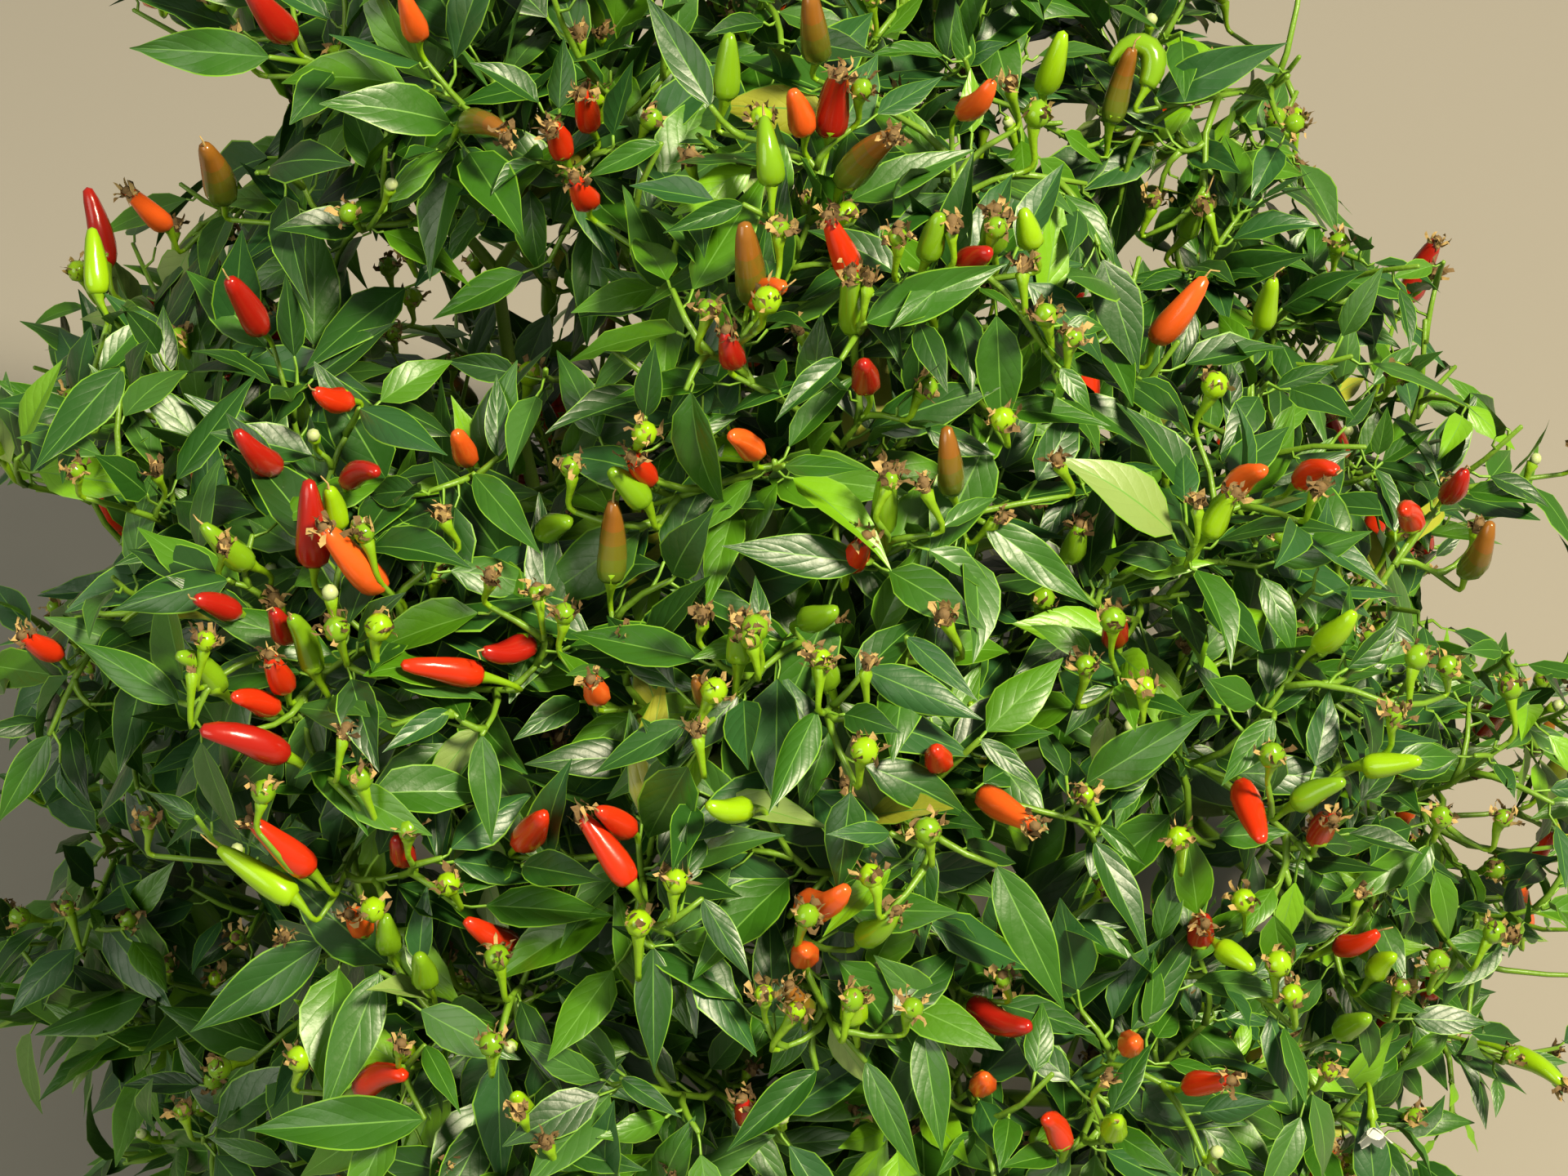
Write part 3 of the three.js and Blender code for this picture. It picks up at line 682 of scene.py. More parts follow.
def make_masses():
    masses = []
    for tier, height, radius, bearings in TIERS:
        for i, bearing in enumerate(bearings):
            angle = math.radians(bearing)
            across = radius * CROWN_HALF_WIDTH * math.cos(angle)
            back = radius * CROWN_HALF_DEPTH * math.sin(angle)
            masses.append(Mass(f"{tier}_{i + 1}", np.array([across, back, height * PLANT_HEIGHT])))
    for mass in masses:
        mass.keep_from(masses)
    return masses


def angle_between(a, b):
    return math.acos(np.clip(unit(a) @ unit(b), -1, 1))


def best_bough_joint(limbs, mass):
    """The best joint for a bough to a mass: near it, by a short way from the trunk, and at no wide angle."""
    found = []
    for name, limb in limbs.items():
        is_trunk = name == "trunk"
        for share in limb.joints:
            offset = mass.middle - limb.point(share)
            path = limb.path + (0 if is_trunk else share * limb.length)
            if is_trunk or angle_between(offset, limb.direction(share)) < WIDEST_FORK:
                found.append((norm(offset) + BOUGH_PATH_WEIGHT * path, limb, share, path))
    return min(found, key=lambda joint: joint[0])[1:]


def make_limbs(masses):
    """The trunk and a bough to each mass. The masses nearest to the fork get theirs first."""
    trunk = Trunk()
    trunk.joints = list(FORK_SHARES)
    limbs = {"trunk": trunk}
    fork = trunk.point(1.0)
    for mass in sorted(masses, key=lambda one: norm(one.middle - fork)):
        carrier, joint, path = best_bough_joint(limbs, mass)
        carrier.joints.remove(joint)
        start = carrier.point(joint)
        heading = unit(mass.middle - start)
        depth = min(BOUGH_END * MASS_RADIUS, mass.reach(-heading) - LEAST_ENTRY)
        end = mass.middle - heading * depth
        bend = unit(carrier.direction(joint) + heading)
        control = start + bend * BOUGH_BEND * norm(end - start)
        foot = max(BOUGH_FOOT_SHARE * carrier.radius(joint), BOUGH_TIP_RADIUS * LEAST_TAPER)
        bough = Bent(start, control, end, foot, BOUGH_TIP_RADIUS, path)
        bough.joints = list(BOUGH_SHARES)
        limbs[mass.name] = bough
    return limbs


def spiral_tips(mass, count, turn, depth_at):
    """Twig ends on an even spiral, the nearest first. None faces a close neighbour or the crown's heart."""
    tips = []
    for i in range(count):
        height = 1 - (2 * i + 1) / count
        ring = math.sqrt(1 - height * height)
        angle = turn + i * GOLDEN_ANGLE
        direction = np.array([ring * math.cos(angle), ring * math.sin(angle), height])
        reach = mass.reach(direction)
        distance = max(reach - depth_at(), reach * LEAST_TIP_SHARE)
        if reach >= LEAST_REACH * MASS_RADIUS and direction @ mass.outward >= INWARD_LIMIT:
            tips.append(mass.middle + direction * distance)
    return sorted(tips, key=lambda tip: norm(tip - mass.twigs[0].start))


# The camera, and where a pixel of the photograph looks.
CAMERA_BACK = np.array([0, -math.cos(CAMERA_ELEVATION), math.sin(CAMERA_ELEVATION)])
CAMERA_UP = np.array([0, math.sin(CAMERA_ELEVATION), math.cos(CAMERA_ELEVATION)])
CAMERA_RIGHT = np.array([1.0, 0, 0])
CAMERA_PLACE = CAMERA_TARGET + CAMERA_BACK * CAMERA_DISTANCE
FOCAL_PIXELS = PHOTO_WIDTH * CAMERA_LENS / CAMERA_SENSOR


def pixel_ray(x, y):
    """The direction from the camera through a pixel, one metre deep."""
    across = CAMERA_RIGHT * (x - PHOTO_WIDTH / 2) / FOCAL_PIXELS
    return across + CAMERA_UP * (PHOTO_HEIGHT / 2 - y) / FOCAL_PIXELS - CAMERA_BACK


def place_at(x, y, depth):
    """The point that a pixel shows at a depth."""
    return CAMERA_PLACE + pixel_ray(x, y) * depth


def to_pixels(points):
    """The pixels and the depths of points."""
    offset = np.atleast_2d(points) - CAMERA_PLACE
    depth = offset @ -CAMERA_BACK
    x = PHOTO_WIDTH / 2 + FOCAL_PIXELS * (offset @ CAMERA_RIGHT) / depth
    y = PHOTO_HEIGHT / 2 - FOCAL_PIXELS * (offset @ CAMERA_UP) / depth
    return x, y, depth


def crown_entry(plant, x, y):
    """The depth at which a pixel's line of sight enters the crown, and the mass that it enters there."""
    ray = pixel_ray(x, y)
    entries = []
    for mass in plant.masses:
        offset = CAMERA_PLACE - mass.middle
        a, b, c = ray @ ray, ray @ offset, offset @ offset - MASS_RADIUS**2
        if b * b > a * c:
            entries.append(((-b - math.sqrt(b * b - a * c)) / a, mass))
    return min(entries, key=lambda entry: entry[0], default=(-math.inf, None))


def share_in(ovals, points):
    """The share of points that the photograph would show in any of some ovals."""
    x, y, _ = to_pixels(points)
    mid_x, mid_y, half_x, half_y = np.array(ovals).T[:, :, None]
    return (((x - mid_x) / half_x) ** 2 + ((y - mid_y) / half_y) ** 2 < 1).any(0).mean()


def in_crown(masses, points):
    """Tells whether every point is in the crown's reach and off the ground."""
    middles = np.array([mass.middle for mass in masses])
    distances = norm(points[:, None] - middles[None], axis=2).min(1)
    return (distances < MASS_RADIUS).all() and (points[:, 2] > GROUND_CLEARANCE).all()


class View:
    """What the photograph shows in front: leaves that would hide it aren't grown."""

    def __init__(self):
        self.kept = []

    def keep(self, points, room):
        self.kept += [(x, y, depth, room) for x, y, depth in zip(*to_pixels(points))]

    def is_hidden_by(self, points):
        x, y, depth = to_pixels(points)
        kept_x, kept_y, kept_depth, room = np.array(self.kept).T[:, :, None]
        is_near = np.hypot(kept_x - x, kept_y - y) < room
        return (is_near & (depth < kept_depth + VIEW_MARGIN)).any()


class LeafGrid:
    """The rows and columns of a leaf's blade, with its half width at each row."""

    # The outer strips take the margin's colour, which is partly a painted highlight along the edges.
    face_slots = np.array([MARGIN_AND_HIGHLIGHT_SLOT, -1, -1, MIDRIB_SLOT, -1, -1, MARGIN_AND_HIGHLIGHT_SLOT])

    def __init__(self, count):
        self.rows = np.linspace(0, 1, count + 1)
        outline = self.rows**LEAF_BASE_POWER * (1 - self.rows) ** LEAF_TIP_POWER
        widest = LEAF_BASE_POWER / (LEAF_BASE_POWER + LEAF_TIP_POWER)
        outline /= widest**LEAF_BASE_POWER * (1 - widest) ** LEAF_TIP_POWER
        self.half_widths = np.maximum(outline, LEAST_HALF_WIDTH)
        across = len(LEAF_COLUMNS)
        row, column = (axis.ravel() for axis in np.indices((count, across - 1)))
        first = row * across + column
        self.quads = np.stack([first, first + across, first + across + 1, first + 1], 1)
        self.slots = self.face_slots[column]
        places = np.meshgrid(LEAF_COLUMNS * 0.5 + 0.5, self.rows)
        self.places = np.stack([axis.ravel() for axis in places], 1)

    def midline(self, points):
        """Every third of the points of a leaf that lie along its midrib."""
        return points.reshape(len(self.rows), -1, 3)[::3, len(LEAF_COLUMNS) // 2]


SMALL_GRID = LeafGrid(LEAF_ROWS)
LARGE_GRID = LeafGrid(LARGE_LEAF_ROWS)


class Leaf:
    """A leaf's place and chance shape. Its blade folds along the midrib, droops, curls, waves and twists."""

    def __init__(self, base, direction, hint, length, rng, droop=LEAF_DROOPS, grid=SMALL_GRID):
        self.base, self.length, self.grid = base, length, grid
        self.along = unit(direction)
        self.across = unit(np.cross(hint, self.along))
        self.normal = np.cross(self.along, self.across)
        self.width = length * between(rng, LEAF_WIDTHS)
        self.fold, self.droop = between(rng, LEAF_FOLDS), between(rng, droop)
        self.curl, self.wave = between(rng, LEAF_CURLS), between(rng, LEAF_WAVES)
        self.twist, self.phase = between(rng, LEAF_TWISTS), rng.random() * 2 * math.pi

    def points(self):
        rows, columns = self.grid.rows[:, None], LEAF_COLUMNS[None, :]
        turns = self.droop * self.grid.rows**DROOP_POWER
        steps = np.diff(self.grid.rows, prepend=0) * self.length
        ahead, down = np.cumsum(np.cos(turns) * steps), np.cumsum(np.sin(turns) * steps)
        half = self.grid.half_widths[:, None] * self.width / 2
        flat = columns * half * math.cos(self.fold)
        phases = 2 * math.pi * WAVES_ON_LEAF * rows + self.phase + np.sign(columns)
        wave = self.wave * np.sin(phases) * columns**2
        high = half * (np.abs(columns) * math.sin(self.fold) - self.curl * columns**2 + wave)
        twist = self.twist * rows
        aside = flat * np.cos(twist) - high * np.sin(twist)
        rise = flat * np.sin(twist) + high * np.cos(twist)
        ahead = ahead[:, None] + rise * np.sin(turns)[:, None]
        above = rise * np.cos(turns)[:, None] - down[:, None]
        parts = ((ahead, self.along), (aside, self.across), (above, self.normal))
        return self.base + sum(share[..., None] * axis for share, axis in parts).reshape(-1, 3)

    def draw(self, mass, tint):
        slots = np.where(self.grid.slots < 0, FIRST_TINT_SLOT + tint, self.grid.slots)
        mass.pile("leaves").add(self.points(), [self.grid.quads], slots, self.grid.places)


class Plant:
    """The crown: its masses, its limbs and what must stay in view."""

    def __init__(self):
        self.masses = make_masses()
        self.limbs = make_limbs(self.masses)
        self.view = View()
        for mass in self.masses:
            mass.start_stem(self.limbs[mass.name])


def add_leaf(plant, mass, place, direction, hint, length, tint, rng):
    """Draws a leaf on its stalk if it keeps to the crown and hides nothing that the photograph shows."""
    base = place + direction * between(rng, PETIOLE_LENGTHS)
    for _ in range(2):
        leaf = Leaf(base, direction, hint, length, rng)
        points = leaf.points()
        line = SMALL_GRID.midline(points)
        if in_crown(plant.masses, line):
            break
        length *= SMALLER_TRY
    else:
        return
    if share_in(OPENINGS + PATCHES, points) > LEAST_COVER or plant.view.is_hidden_by(line):
        return
    middle = (place + base) / 2 - leaf.normal * PETIOLE_SAG
    tube(mass.pile("twigs"), [place, middle, base], PETIOLE_RADII, PETIOLE_SIDES, PETIOLE_SLOT)
    leaf.draw(mass, tint)


def add_leaves(plant, mass, twig, shares, rng):
    """Leaves round a twig, a golden angle apart, that open wider farther from its tip."""
    common = rng.choice(len(TINTS), p=TINT_SHARES)
    turn = rng.random() * 2 * math.pi
    aside = max(twig.end[0], LEAST_ASIDE)
    size = between(rng, LEAF_LENGTHS) * (LEAF_SIZE_MIDDLE - LEAF_SIZE_SLOPE * aside)
    ahead, up, outward, chance = LEAF_FACING
    for i, share in enumerate(shares):
        axis = twig.direction(share)
        radial = around(axis, turn + i * GOLDEN_ANGLE)
        opening = SPREAD_CHANCE * rng.random() + (1 - SPREAD_CHANCE) * i / len(shares)
        spread = LEAF_SPREAD[0] + (LEAF_SPREAD[1] - LEAF_SPREAD[0]) * opening
        direction = unit(math.cos(spread) * axis + math.sin(spread) * radial)
        hint = axis * ahead + UP * up + mass.outward * outward + jitter(rng, chance)
        length = min(size * between(rng, LEAF_SIZES), LONGEST_ON_TWIG)
        tint = next((odd for odd, odds in ODD_TINTS.items() if rng.random() < odds), common)
        add_leaf(plant, mass, twig.point(share), direction, hint, length, tint, rng)


def draw_pod(mass, base, tip, slot, rng):
    """A faintly bent and dented pod. A turning one is browner toward its tip."""
    direction, length = unit(tip - base), norm(tip - base)
    shares, halves = np.array(POD_OUTLINE).T[:, :, None]
    bend = (rng.random() - 0.5) * POD_BEND
    sideways = np.sin(shares * math.pi) * bend * length * side_of(direction)
    centres = base + shares * direction * length + sideways
    width = min(max(length * between(rng, POD_WIDTH_SHARE), POD_WIDTHS[0]), POD_WIDTHS[1]) / 2
    angles = ring_angles(POD_SIDES)
    phase = rng.random() * DENT_TURN
    dents = np.cos(2 * angles + 3 * shares + phase) + np.cos(3 * angles - 5 * shares)
    radii = halves * width * (1 + POD_DENT * dents)
    slots = np.full(len(radii) - 1, slot)
    if slot == TURNING:
        slots = TURNING + np.clip(np.arange(len(slots)), 0, TURNING_STEPS - 1)
    tube(mass.pile("fruit"), centres, radii, POD_SIDES, slots, cap_foot=True)


def draw_ball(mass, base, direction, length, kind, slot):
    """A round young fruit or a bud."""
    centres = [base + direction * length * share for share, _ in BALL_OUTLINE]
    radii = [half * length * 0.5 for _, half in BALL_OUTLINE]
    tube(mass.pile(kind), centres, radii, BALL_SIDES, slot, cap_foot=True)


def draw_stalk(mass, twig, base, direction, width):
    """A stalk that goes on from a twig, bends up to a fruit, thickens, and ends in the cup of its calyx."""
    start = twig.end
    reach = norm(base - start)
    leaving = start + twig.direction(1.0) * reach * STALK_BEND
    arriving = base - direction * reach * STALK_BEND
    centres = []
    shares, radii = zip(*STALK_OUTLINE)
    for share in shares:
        rest = 1 - share
        bent = 3 * rest * share * (rest * leaving + share * arriving)
        centres.append(rest**3 * start + bent + share**3 * base)
    places, cups = zip(*CALYX_OUTLINE)
    centres += [base + direction * ahead for ahead in places]
    radii += tuple(width * cup * CALYX_SHARE for cup in cups)
    tube(mass.pile("stalks"), centres, radii, STALK_SIDES, 0)


def draw_strip(mass, place, heading, flank, core, size, ring, rng):
    """A crumpled strip of a withered flower, which turns back to the flower's core where it strays."""
    width = size * between(rng, STRIP_WIDTHS)
    points = []
    for _ in range(SCRAP_ROWS + 1):
        flank = unit(flank + jitter(rng, SCRAP_CRUMPLE))
        points += [place - flank * width, place + flank * width]
        outside = max(norm(place - core) / size - ring - SCRAP_ROOM / 2, 0)
        pull = unit(core - place) * outside / SCRAP_ROOM
        heading = unit(heading + jitter(rng, SCRAP_CRUMPLE) + pull * SCRAP_PULL)
        place = place + heading * size * SCRAP_STEP
    faces = np.arange(SCRAP_ROWS)[:, None] * 2 + np.array([[0, 2, 3, 1]])
    mass.pile("corollas").add(np.array(points), [faces], rng.integers(2))


def draw_scrap(mass, middle, direction, size, rng, ring=SCRAP_RING):
    """A withered flower: crumpled strips round a dry tube. ring is its radius as a share of its size."""
    places, radii = np.array(SCRAP_TUBE).T * size
    ends = [middle + direction * place for place in places]
    tube(mass.pile("corollas"), ends, radii, SCRAP_TUBE_SIDES, DARK_SLOT)
    core = middle + direction * size * SCRAP_CORE
    for i in range(SCRAP_STRIPS):
        angle = (i + rng.random() * STRIP_SPACING_CHANCE) * 2 * math.pi / SCRAP_STRIPS
        out = around(direction, angle)
        place = middle + out * size * ring - direction * size * SCRAP_BACK * rng.random()
        heading = unit(out * STRIP_SPREAD + direction * rng.random() * STRIP_RISE)
        draw_strip(mass, place, heading, np.cross(direction, out), core, size, ring, rng)


def draw_pod_scrap(mass, tip, direction, rng):
    """The withered flower that still sits on a pod's tip."""
    middle = tip - direction * POD_SCRAP_BACK
    draw_scrap(mass, middle, direction, POD_SCRAP_SIZE, rng, ring=POD_SCRAP_RING)


def draw_thread(mass, tip, direction, rng):
    """The dry thread that a pod keeps at its tip."""
    places, radii = zip(*THREAD_OUTLINE)
    centres = [tip + direction * ahead for ahead in places]
    centres[-1] = centres[-1] + jitter(rng, THREAD_BEND)
    tube(mass.pile("corollas"), centres, radii, THREAD_SIDES, TAN_SLOT)


def draw_flower(mass, middle, direction):
    """A nodding open white flower with dark anthers."""
    pile = mass.pile("flowers")
    row = np.arange(len(PETAL_OUTLINE) - 1)[:, None] * 3
    faces = np.concatenate([row + np.array([[k, k + 3, k + 4, k + 1]]) for k in (0, 1)])
    for angle in ring_angles(PETALS):
        out = around(direction, angle)
        flank = np.cross(direction, out)
        points = []
        for share, half in PETAL_OUTLINE:
            place = middle + out * PETAL_REACH * share + direction * PETAL_RISE * share
            across = flank * PETAL_HALF_WIDTH * half
            points += [place + across * v - out * PETAL_CUP * v * v for v in (-1, 0, 1)]
        pile.add(np.array(points), [faces], PETAL_SLOT)
        anther = middle + (out * ANTHER_RING + direction * ANTHER_RISE)
        ends = [anther, anther + direction * ANTHER_LENGTH]
        tube(pile, ends, [ANTHER_RADIUS, ANTHER_RADIUS], ANTHER_SIDES, ANTHER_SLOT, cap_foot=True)


def fruit_from_photo(plant, pixels, lengths, slots, rng):
    """Fruit where the photograph shows them, near the crown's front."""
    for x0, y0, x1, y1 in pixels:
        depth, mass = crown_entry(plant, x0, y0)
        across = (CAMERA_RIGHT * (x1 - x0) + CAMERA_UP * (y0 - y1)) * depth / FOCAL_PIXELS
        seen = norm(across)
        length = between(rng, lengths) * (SHORT_FRUIT if seen < SHORT_SEEN else 1)
        length = min(max(length, seen), LONGEST_FRUIT)
        toward = math.sqrt(max(length**2 - seen**2, 0))
        base = place_at(x0, y0, depth + FRUIT_DEPTH + toward * FRUIT_STANDING)
        tip = base + unit(across + CAMERA_BACK * toward) * length
        bear_fruit(mass, base, tip, rng.choice(slots), rng.random() < SCRAP_SHARE, rng)
        plant.view.keep([base, (base + tip) / 2, tip], FRUIT_VIEW_PIXELS)


def bear_fruit(mass, base, tip, slot, has_scrap, rng):
    """A pod with its stalk, on a twig that is grown to carry it."""
    direction = unit(tip - base)
    stalk = between(rng, STALK_LENGTHS)
    start = base - unit(direction + UP * STALK_UPTURN + mass.outward * STALK_OUTTURN) * stalk
    twig = mass.grow(start)
    if twig is None:
        return
    draw_pod(mass, base, tip, slot, rng)
    draw_stalk(mass, twig, base, direction, POD_CALYX)
    if has_scrap:
        draw_pod_scrap(mass, tip, direction, rng)
    elif rng.random() < THREAD_SHARE:
        draw_thread(mass, tip, direction, rng)


def rounded(rows):
    """A line of points or sizes with its corners cut off, and the same two ends."""
    rows = np.asarray(rows, float)
    quarters = [(0.75 * a + 0.25 * b, 0.25 * a + 0.75 * b) for a, b in zip(rows, rows[1:])]
    return np.array([rows[0], *(row for pair in quarters for row in pair), rows[-1]])


def bear_hooked_pod(plant):
    """The pod that hangs over like a hook, on a twig that is grown to carry it."""
    depth, mass = crown_entry(plant, *HOOKED_PIXELS[0])
    line = [place_at(x, y, depth + FRUIT_DEPTH) for x, y in HOOKED_PIXELS]
    direction = unit(line[1] - line[0])
    twig = mass.grow(line[0] - unit(direction + UP * HOOKED_UPTURN) * STALK_LENGTHS[0])
    draw_stalk(mass, twig, line[0], direction, POD_CALYX)
    centres = rounded(line)
    tube(mass.pile("fruit"), centres, rounded(HOOKED_RADII), POD_SIDES, GRASS, cap_foot=True)
    plant.view.keep(centres, FRUIT_VIEW_PIXELS)


def grow_hollow_stem(plant):
    """The forked stem that stands in the crown's hollow, on the limb that is nearest to its foot."""
    foot, fork, left, right = (place_at(*row) for row in HOLLOW_STEM)
    mass = min(plant.masses, key=lambda one: norm(one.middle - foot))
    start = min((joint[0] for joint in mass.joints), key=lambda point: norm(point - foot))
    thick, middling, thin = HOLLOW_STEM_RADII
    stem = Bent(start, foot, fork, thick, middling)
    arch = UP * HOLLOW_STEM_ARCH
    arms = [Bent(fork, (fork + end) / 2 + arch, end, middling, thin) for end in (left, right)]
    for limb in [stem, *arms]:
        mass.draw_twig(limb, HOLLOW_STEM_SIDES, HOLLOW_STEM_RINGS)


def young_from_photo(plant, rng):
    """Withered flowers as in the photograph, on young fruit or bare stalks, and its open flower."""
    up, back, chance = YOUNG_FACING
    for x, y in [*YOUNG_PIXELS, FLOWER_PIXEL]:
        depth, mass = crown_entry(plant, x, y + YOUNG_DROP)
        base = place_at(x, y + YOUNG_DROP, depth + YOUNG_DEPTH)
        direction = unit(CAMERA_UP * up + CAMERA_BACK * back + jitter(rng, chance))
        is_flower = (x, y) == FLOWER_PIXEL
        if is_flower:
            direction = unit(CAMERA_UP * FLOWER_FACING[0] + CAMERA_BACK * FLOWER_FACING[1])
        twig = mass.grow(base - unit(direction + UP * STALK_UPTURN) * between(rng, STALK_LENGTHS))
        if twig is None:
            continue
        plant.view.keep([base], YOUNG_VIEW_PIXELS)
        if is_flower:
            draw_stalk(mass, twig, base, direction, FLOWER_CALYX)
            draw_flower(mass, base + direction * FLOWER_RISE, direction)
        elif rng.random() < BARE_SHARE:
            bear_withered(mass, twig, base, direction, between(rng, SCRAP_LENGTHS), rng)
        else:
            bear_young(mass, twig, base, direction, rng)


def bear_withered(mass, twig, base, direction, size, rng):
    """A withered flower on a bare stalk."""
    draw_stalk(mass, twig, base, direction, WITHERED_CALYX)
    draw_scrap(mass, base + direction * BARE_RISE, direction, size, rng)


def bear_young(mass, twig, base, direction, rng):
    """A round young fruit that its withered flower still rings."""
    length = between(rng, BALL_LENGTHS)
    draw_stalk(mass, twig, base, direction, length * YOUNG_CALYX_SHARE)
    draw_ball(mass, base, direction, length, "fruit", rng.choice(YOUNG_SLOTS))
    middle = base + direction * length * YOUNG_SCRAP_PLACE
    draw_scrap(mass, middle, direction, YOUNG_SCRAP_SIZE, rng, ring=YOUNG_SCRAP_RING)


def leaves_from_photo(plant, rng):
    """The large leaves that the photograph shows, each on a twig that is grown to carry it."""
    up, back, chance = LARGE_LEAF_FACING
    for x0, y0, x1, y1 in LEAF_PIXELS:
        depth, mass = crown_entry(plant, x0, y0)
        tip_depth, _ = crown_entry(plant, x1, y1)
        tip_depth = max(min(tip_depth, depth + MOST_LEAF_SLANT), depth - MOST_LEAF_SLANT)
        base = place_at(x0, y0, depth + LEAF_BASE_DEPTH)
        tip = place_at(x1, y1, tip_depth + LEAF_TIP_DEPTH)
        if mass.grow(base) is None:
            continue
        length = min(norm(tip - base) * LARGER_LEAF, LONGEST_LEAF)
        hint = CAMERA_BACK * back + UP * up + jitter(rng, chance)
        direction = unit(tip - base) + UP * LARGE_LEAF_RISE
        leaf = Leaf(base, direction, hint, length, rng, droop=LARGE_LEAF_DROOPS, grid=LARGE_GRID)
        leaf.width = length * between(rng, LARGE_LEAF_WIDTHS)
        # One of the first three, darker tints: partly painted shade on these large leaves.
        leaf.draw(mass, rng.integers(LARGE_LEAF_TINTS))
        plant.view.keep(LARGE_GRID.midline(leaf.points()), LEAF_VIEW_PIXELS)


def sprays_from_photo(plant, rng):
    """Leafy twigs where the photograph shows leaves and the rule leaves a gap."""
    for x, y in SPRAY_PIXELS:
        depth, mass = crown_entry(plant, x, y)
        twig = mass.grow(place_at(x, y, depth + SPRAY_DEPTH))
        if twig is not None:
            add_leaves(plant, mass, twig, LEAF_SHARES, rng)


def is_in_front(plant, point):
    """Tells whether a point is in the photograph's frame and near the crown's front."""
    x, y, depth = (value[0] for value in to_pixels(point))
    entry, _ = crown_entry(plant, x, y)
    return 0 < x < PHOTO_WIDTH and 0 < y < PHOTO_HEIGHT and depth < entry + FRONT_DEPTH


def dress_tip(plant, mass, twig, rng):
    """What stands at a fine twig's end. Pods that the photograph would show are dealt out elsewhere."""
    ahead, up, chance = TIP_FACING
    direction = unit(twig.direction(1.0) * ahead + UP * up + jitter(rng, chance))
    kind = rng.choice(len(TIP_SHARES), p=TIP_SHARES)
    base = twig.end + direction * between(rng, STALK_LENGTHS)
    length = between(rng, TIP_LENGTHS[kind])
    tip = base + direction * length
    ends = np.array([base, tip])
    if share_in(OPENINGS, ends) or not in_crown(plant.masses, ends):
        return
    if kind == YOUNG:
        bear_young(mass, twig, base, direction, rng)
    elif kind == BUD:
        draw_stalk(mass, twig, base, direction, BUD_CALYX)
        draw_ball(mass, base, direction, length, "flowers", BUD_SLOT)
    elif kind == WITHERED:
        bear_withered(mass, twig, base, direction, length, rng)
    elif kind in (RIPE, GREEN) and not is_in_front(plant, base):
        slot = rng.choice(GREEN_TIP_SLOTS if kind == GREEN else RIPE_SLOTS)
        draw_stalk(mass, twig, base, direction, POD_CALYX)
        draw_pod(mass, base, tip, slot, rng)
        if rng.random() < SCRAP_SHARE_AT_TIPS:
            draw_pod_scrap(mass, tip, direction, rng)


def grow_mass(i, mass):
    """Coarse twigs to the tips of the solids' rule."""
    chance = Chance(i + 1)
    turn = chance.number() * math.pi * 2
    for tip in spiral_tips(mass, SPIRAL_POINTS, turn, lambda: TIP_DEPTH + TIP_SPREAD * chance.number()):
        if not share_in(OPENINGS, tip):
            mass.grow(tip, is_fine=False)


def dress_mass(plant, i, mass):
    """Finer twigs, with leaves and what stands at their ends."""
    rng = np.random.default_rng(FIRST_MASS_SEED + i)
    coarse = mass.twigs[1:]
    turn = rng.random() * math.pi * 2
    for tip in spiral_tips(mass, FINE_POINTS, turn, lambda: between(rng, FINE_DEPTHS)):
        if tip[2] < LEAST_TIP_HEIGHT or share_in(OPENINGS, tip):
            continue
        twig = mass.grow(tip)
        if twig is not None:
            add_leaves(plant, mass, twig, LEAF_SHARES, rng)
            dress_tip(plant, mass, twig, rng)
    for twig in coarse:
        add_leaves(plant, mass, twig, COARSE_LEAF_SHARES, rng)


def trunk_radius(trunk, share, angle):
    place = Vector((math.cos(angle) * KNOTS_ROUND, math.sin(angle) * KNOTS_ROUND, share * KNOTS_ALONG))
    knots = KNOT_DEPTH * noise.noise(place)
    lean = FURROW_TWIST * share + FURROW_WANDER * noise.noise(place * WANDER_SCALE)
    furrows = FURROW_DEPTH * math.cos(FURROWS * angle + lean)
    roughness = ROUGH_DEPTH * noise.noise(place * ROUGH_SCALE)
    return trunk.radius(share, angle) * (1 + knots + furrows + roughness)


def bough_radius(bough, share, angle):
    from_node = (share * bough.length + NODE_SPACING / 2) % NODE_SPACING - NODE_SPACING / 2
    swelling = NODE_SWELLING * math.exp(-((from_node / NODE_WIDTH) ** 2))
    return bough.radius(share) * (1 + swelling + RIDGE_DEPTH * math.cos(RIDGES * angle))


def limb_rings(limb, radius, shares, sides):
    """A limb's middle line, and its radii round it at each share."""
    centres = [limb.point(share) for share in shares]
    return centres, [[radius(limb, share, angle) for angle in ring_angles(sides)] for share in shares]


def draw_trunk(pile, trunk):
    """The trunk, with a low cap over its fork."""
    shares = np.linspace(trunk.foot_share, 1, TRUNK_RINGS)
    centres, radii = limb_rings(trunk, trunk_radius, shares, TRUNK_SIDES)
    centres.append(centres[-1] + UP * TRUNK_CAP_RISE)
    radii.append([radius * TRUNK_CAP_SHARE for radius in radii[-1]])
    tube(pile, centres, radii, TRUNK_SIDES, TRUNK_SLOT, cap_foot=True, is_level=True)


def draw_bough(pile, bough):
    shares = np.linspace(0, 1, BOUGH_RINGS)
    centres, radii = limb_rings(bough, bough_radius, shares, BOUGH_SIDES)
    slots = [OLD_SLOT if bough.radius(share) > OLD_RADIUS else BOUGH_SLOT for share in shares[1:]]
    tube(pile, centres, radii, BOUGH_SIDES, slots, cap_foot=True)


def draw_bark(limbs):
    pile = Pile()
    for name, limb in limbs.items():
        draw = draw_trunk if name == "trunk" else draw_bough
        draw(pile, limb)
    return pile


def turning_colour(step):
    """The colour of one band of a turning pod."""
    shares = np.linspace(0, TURNING_STEPS - 1, len(TURNING_COLOURS))
    return [float(np.interp(step, shares, channel)) for channel in zip(*TURNING_COLOURS)]


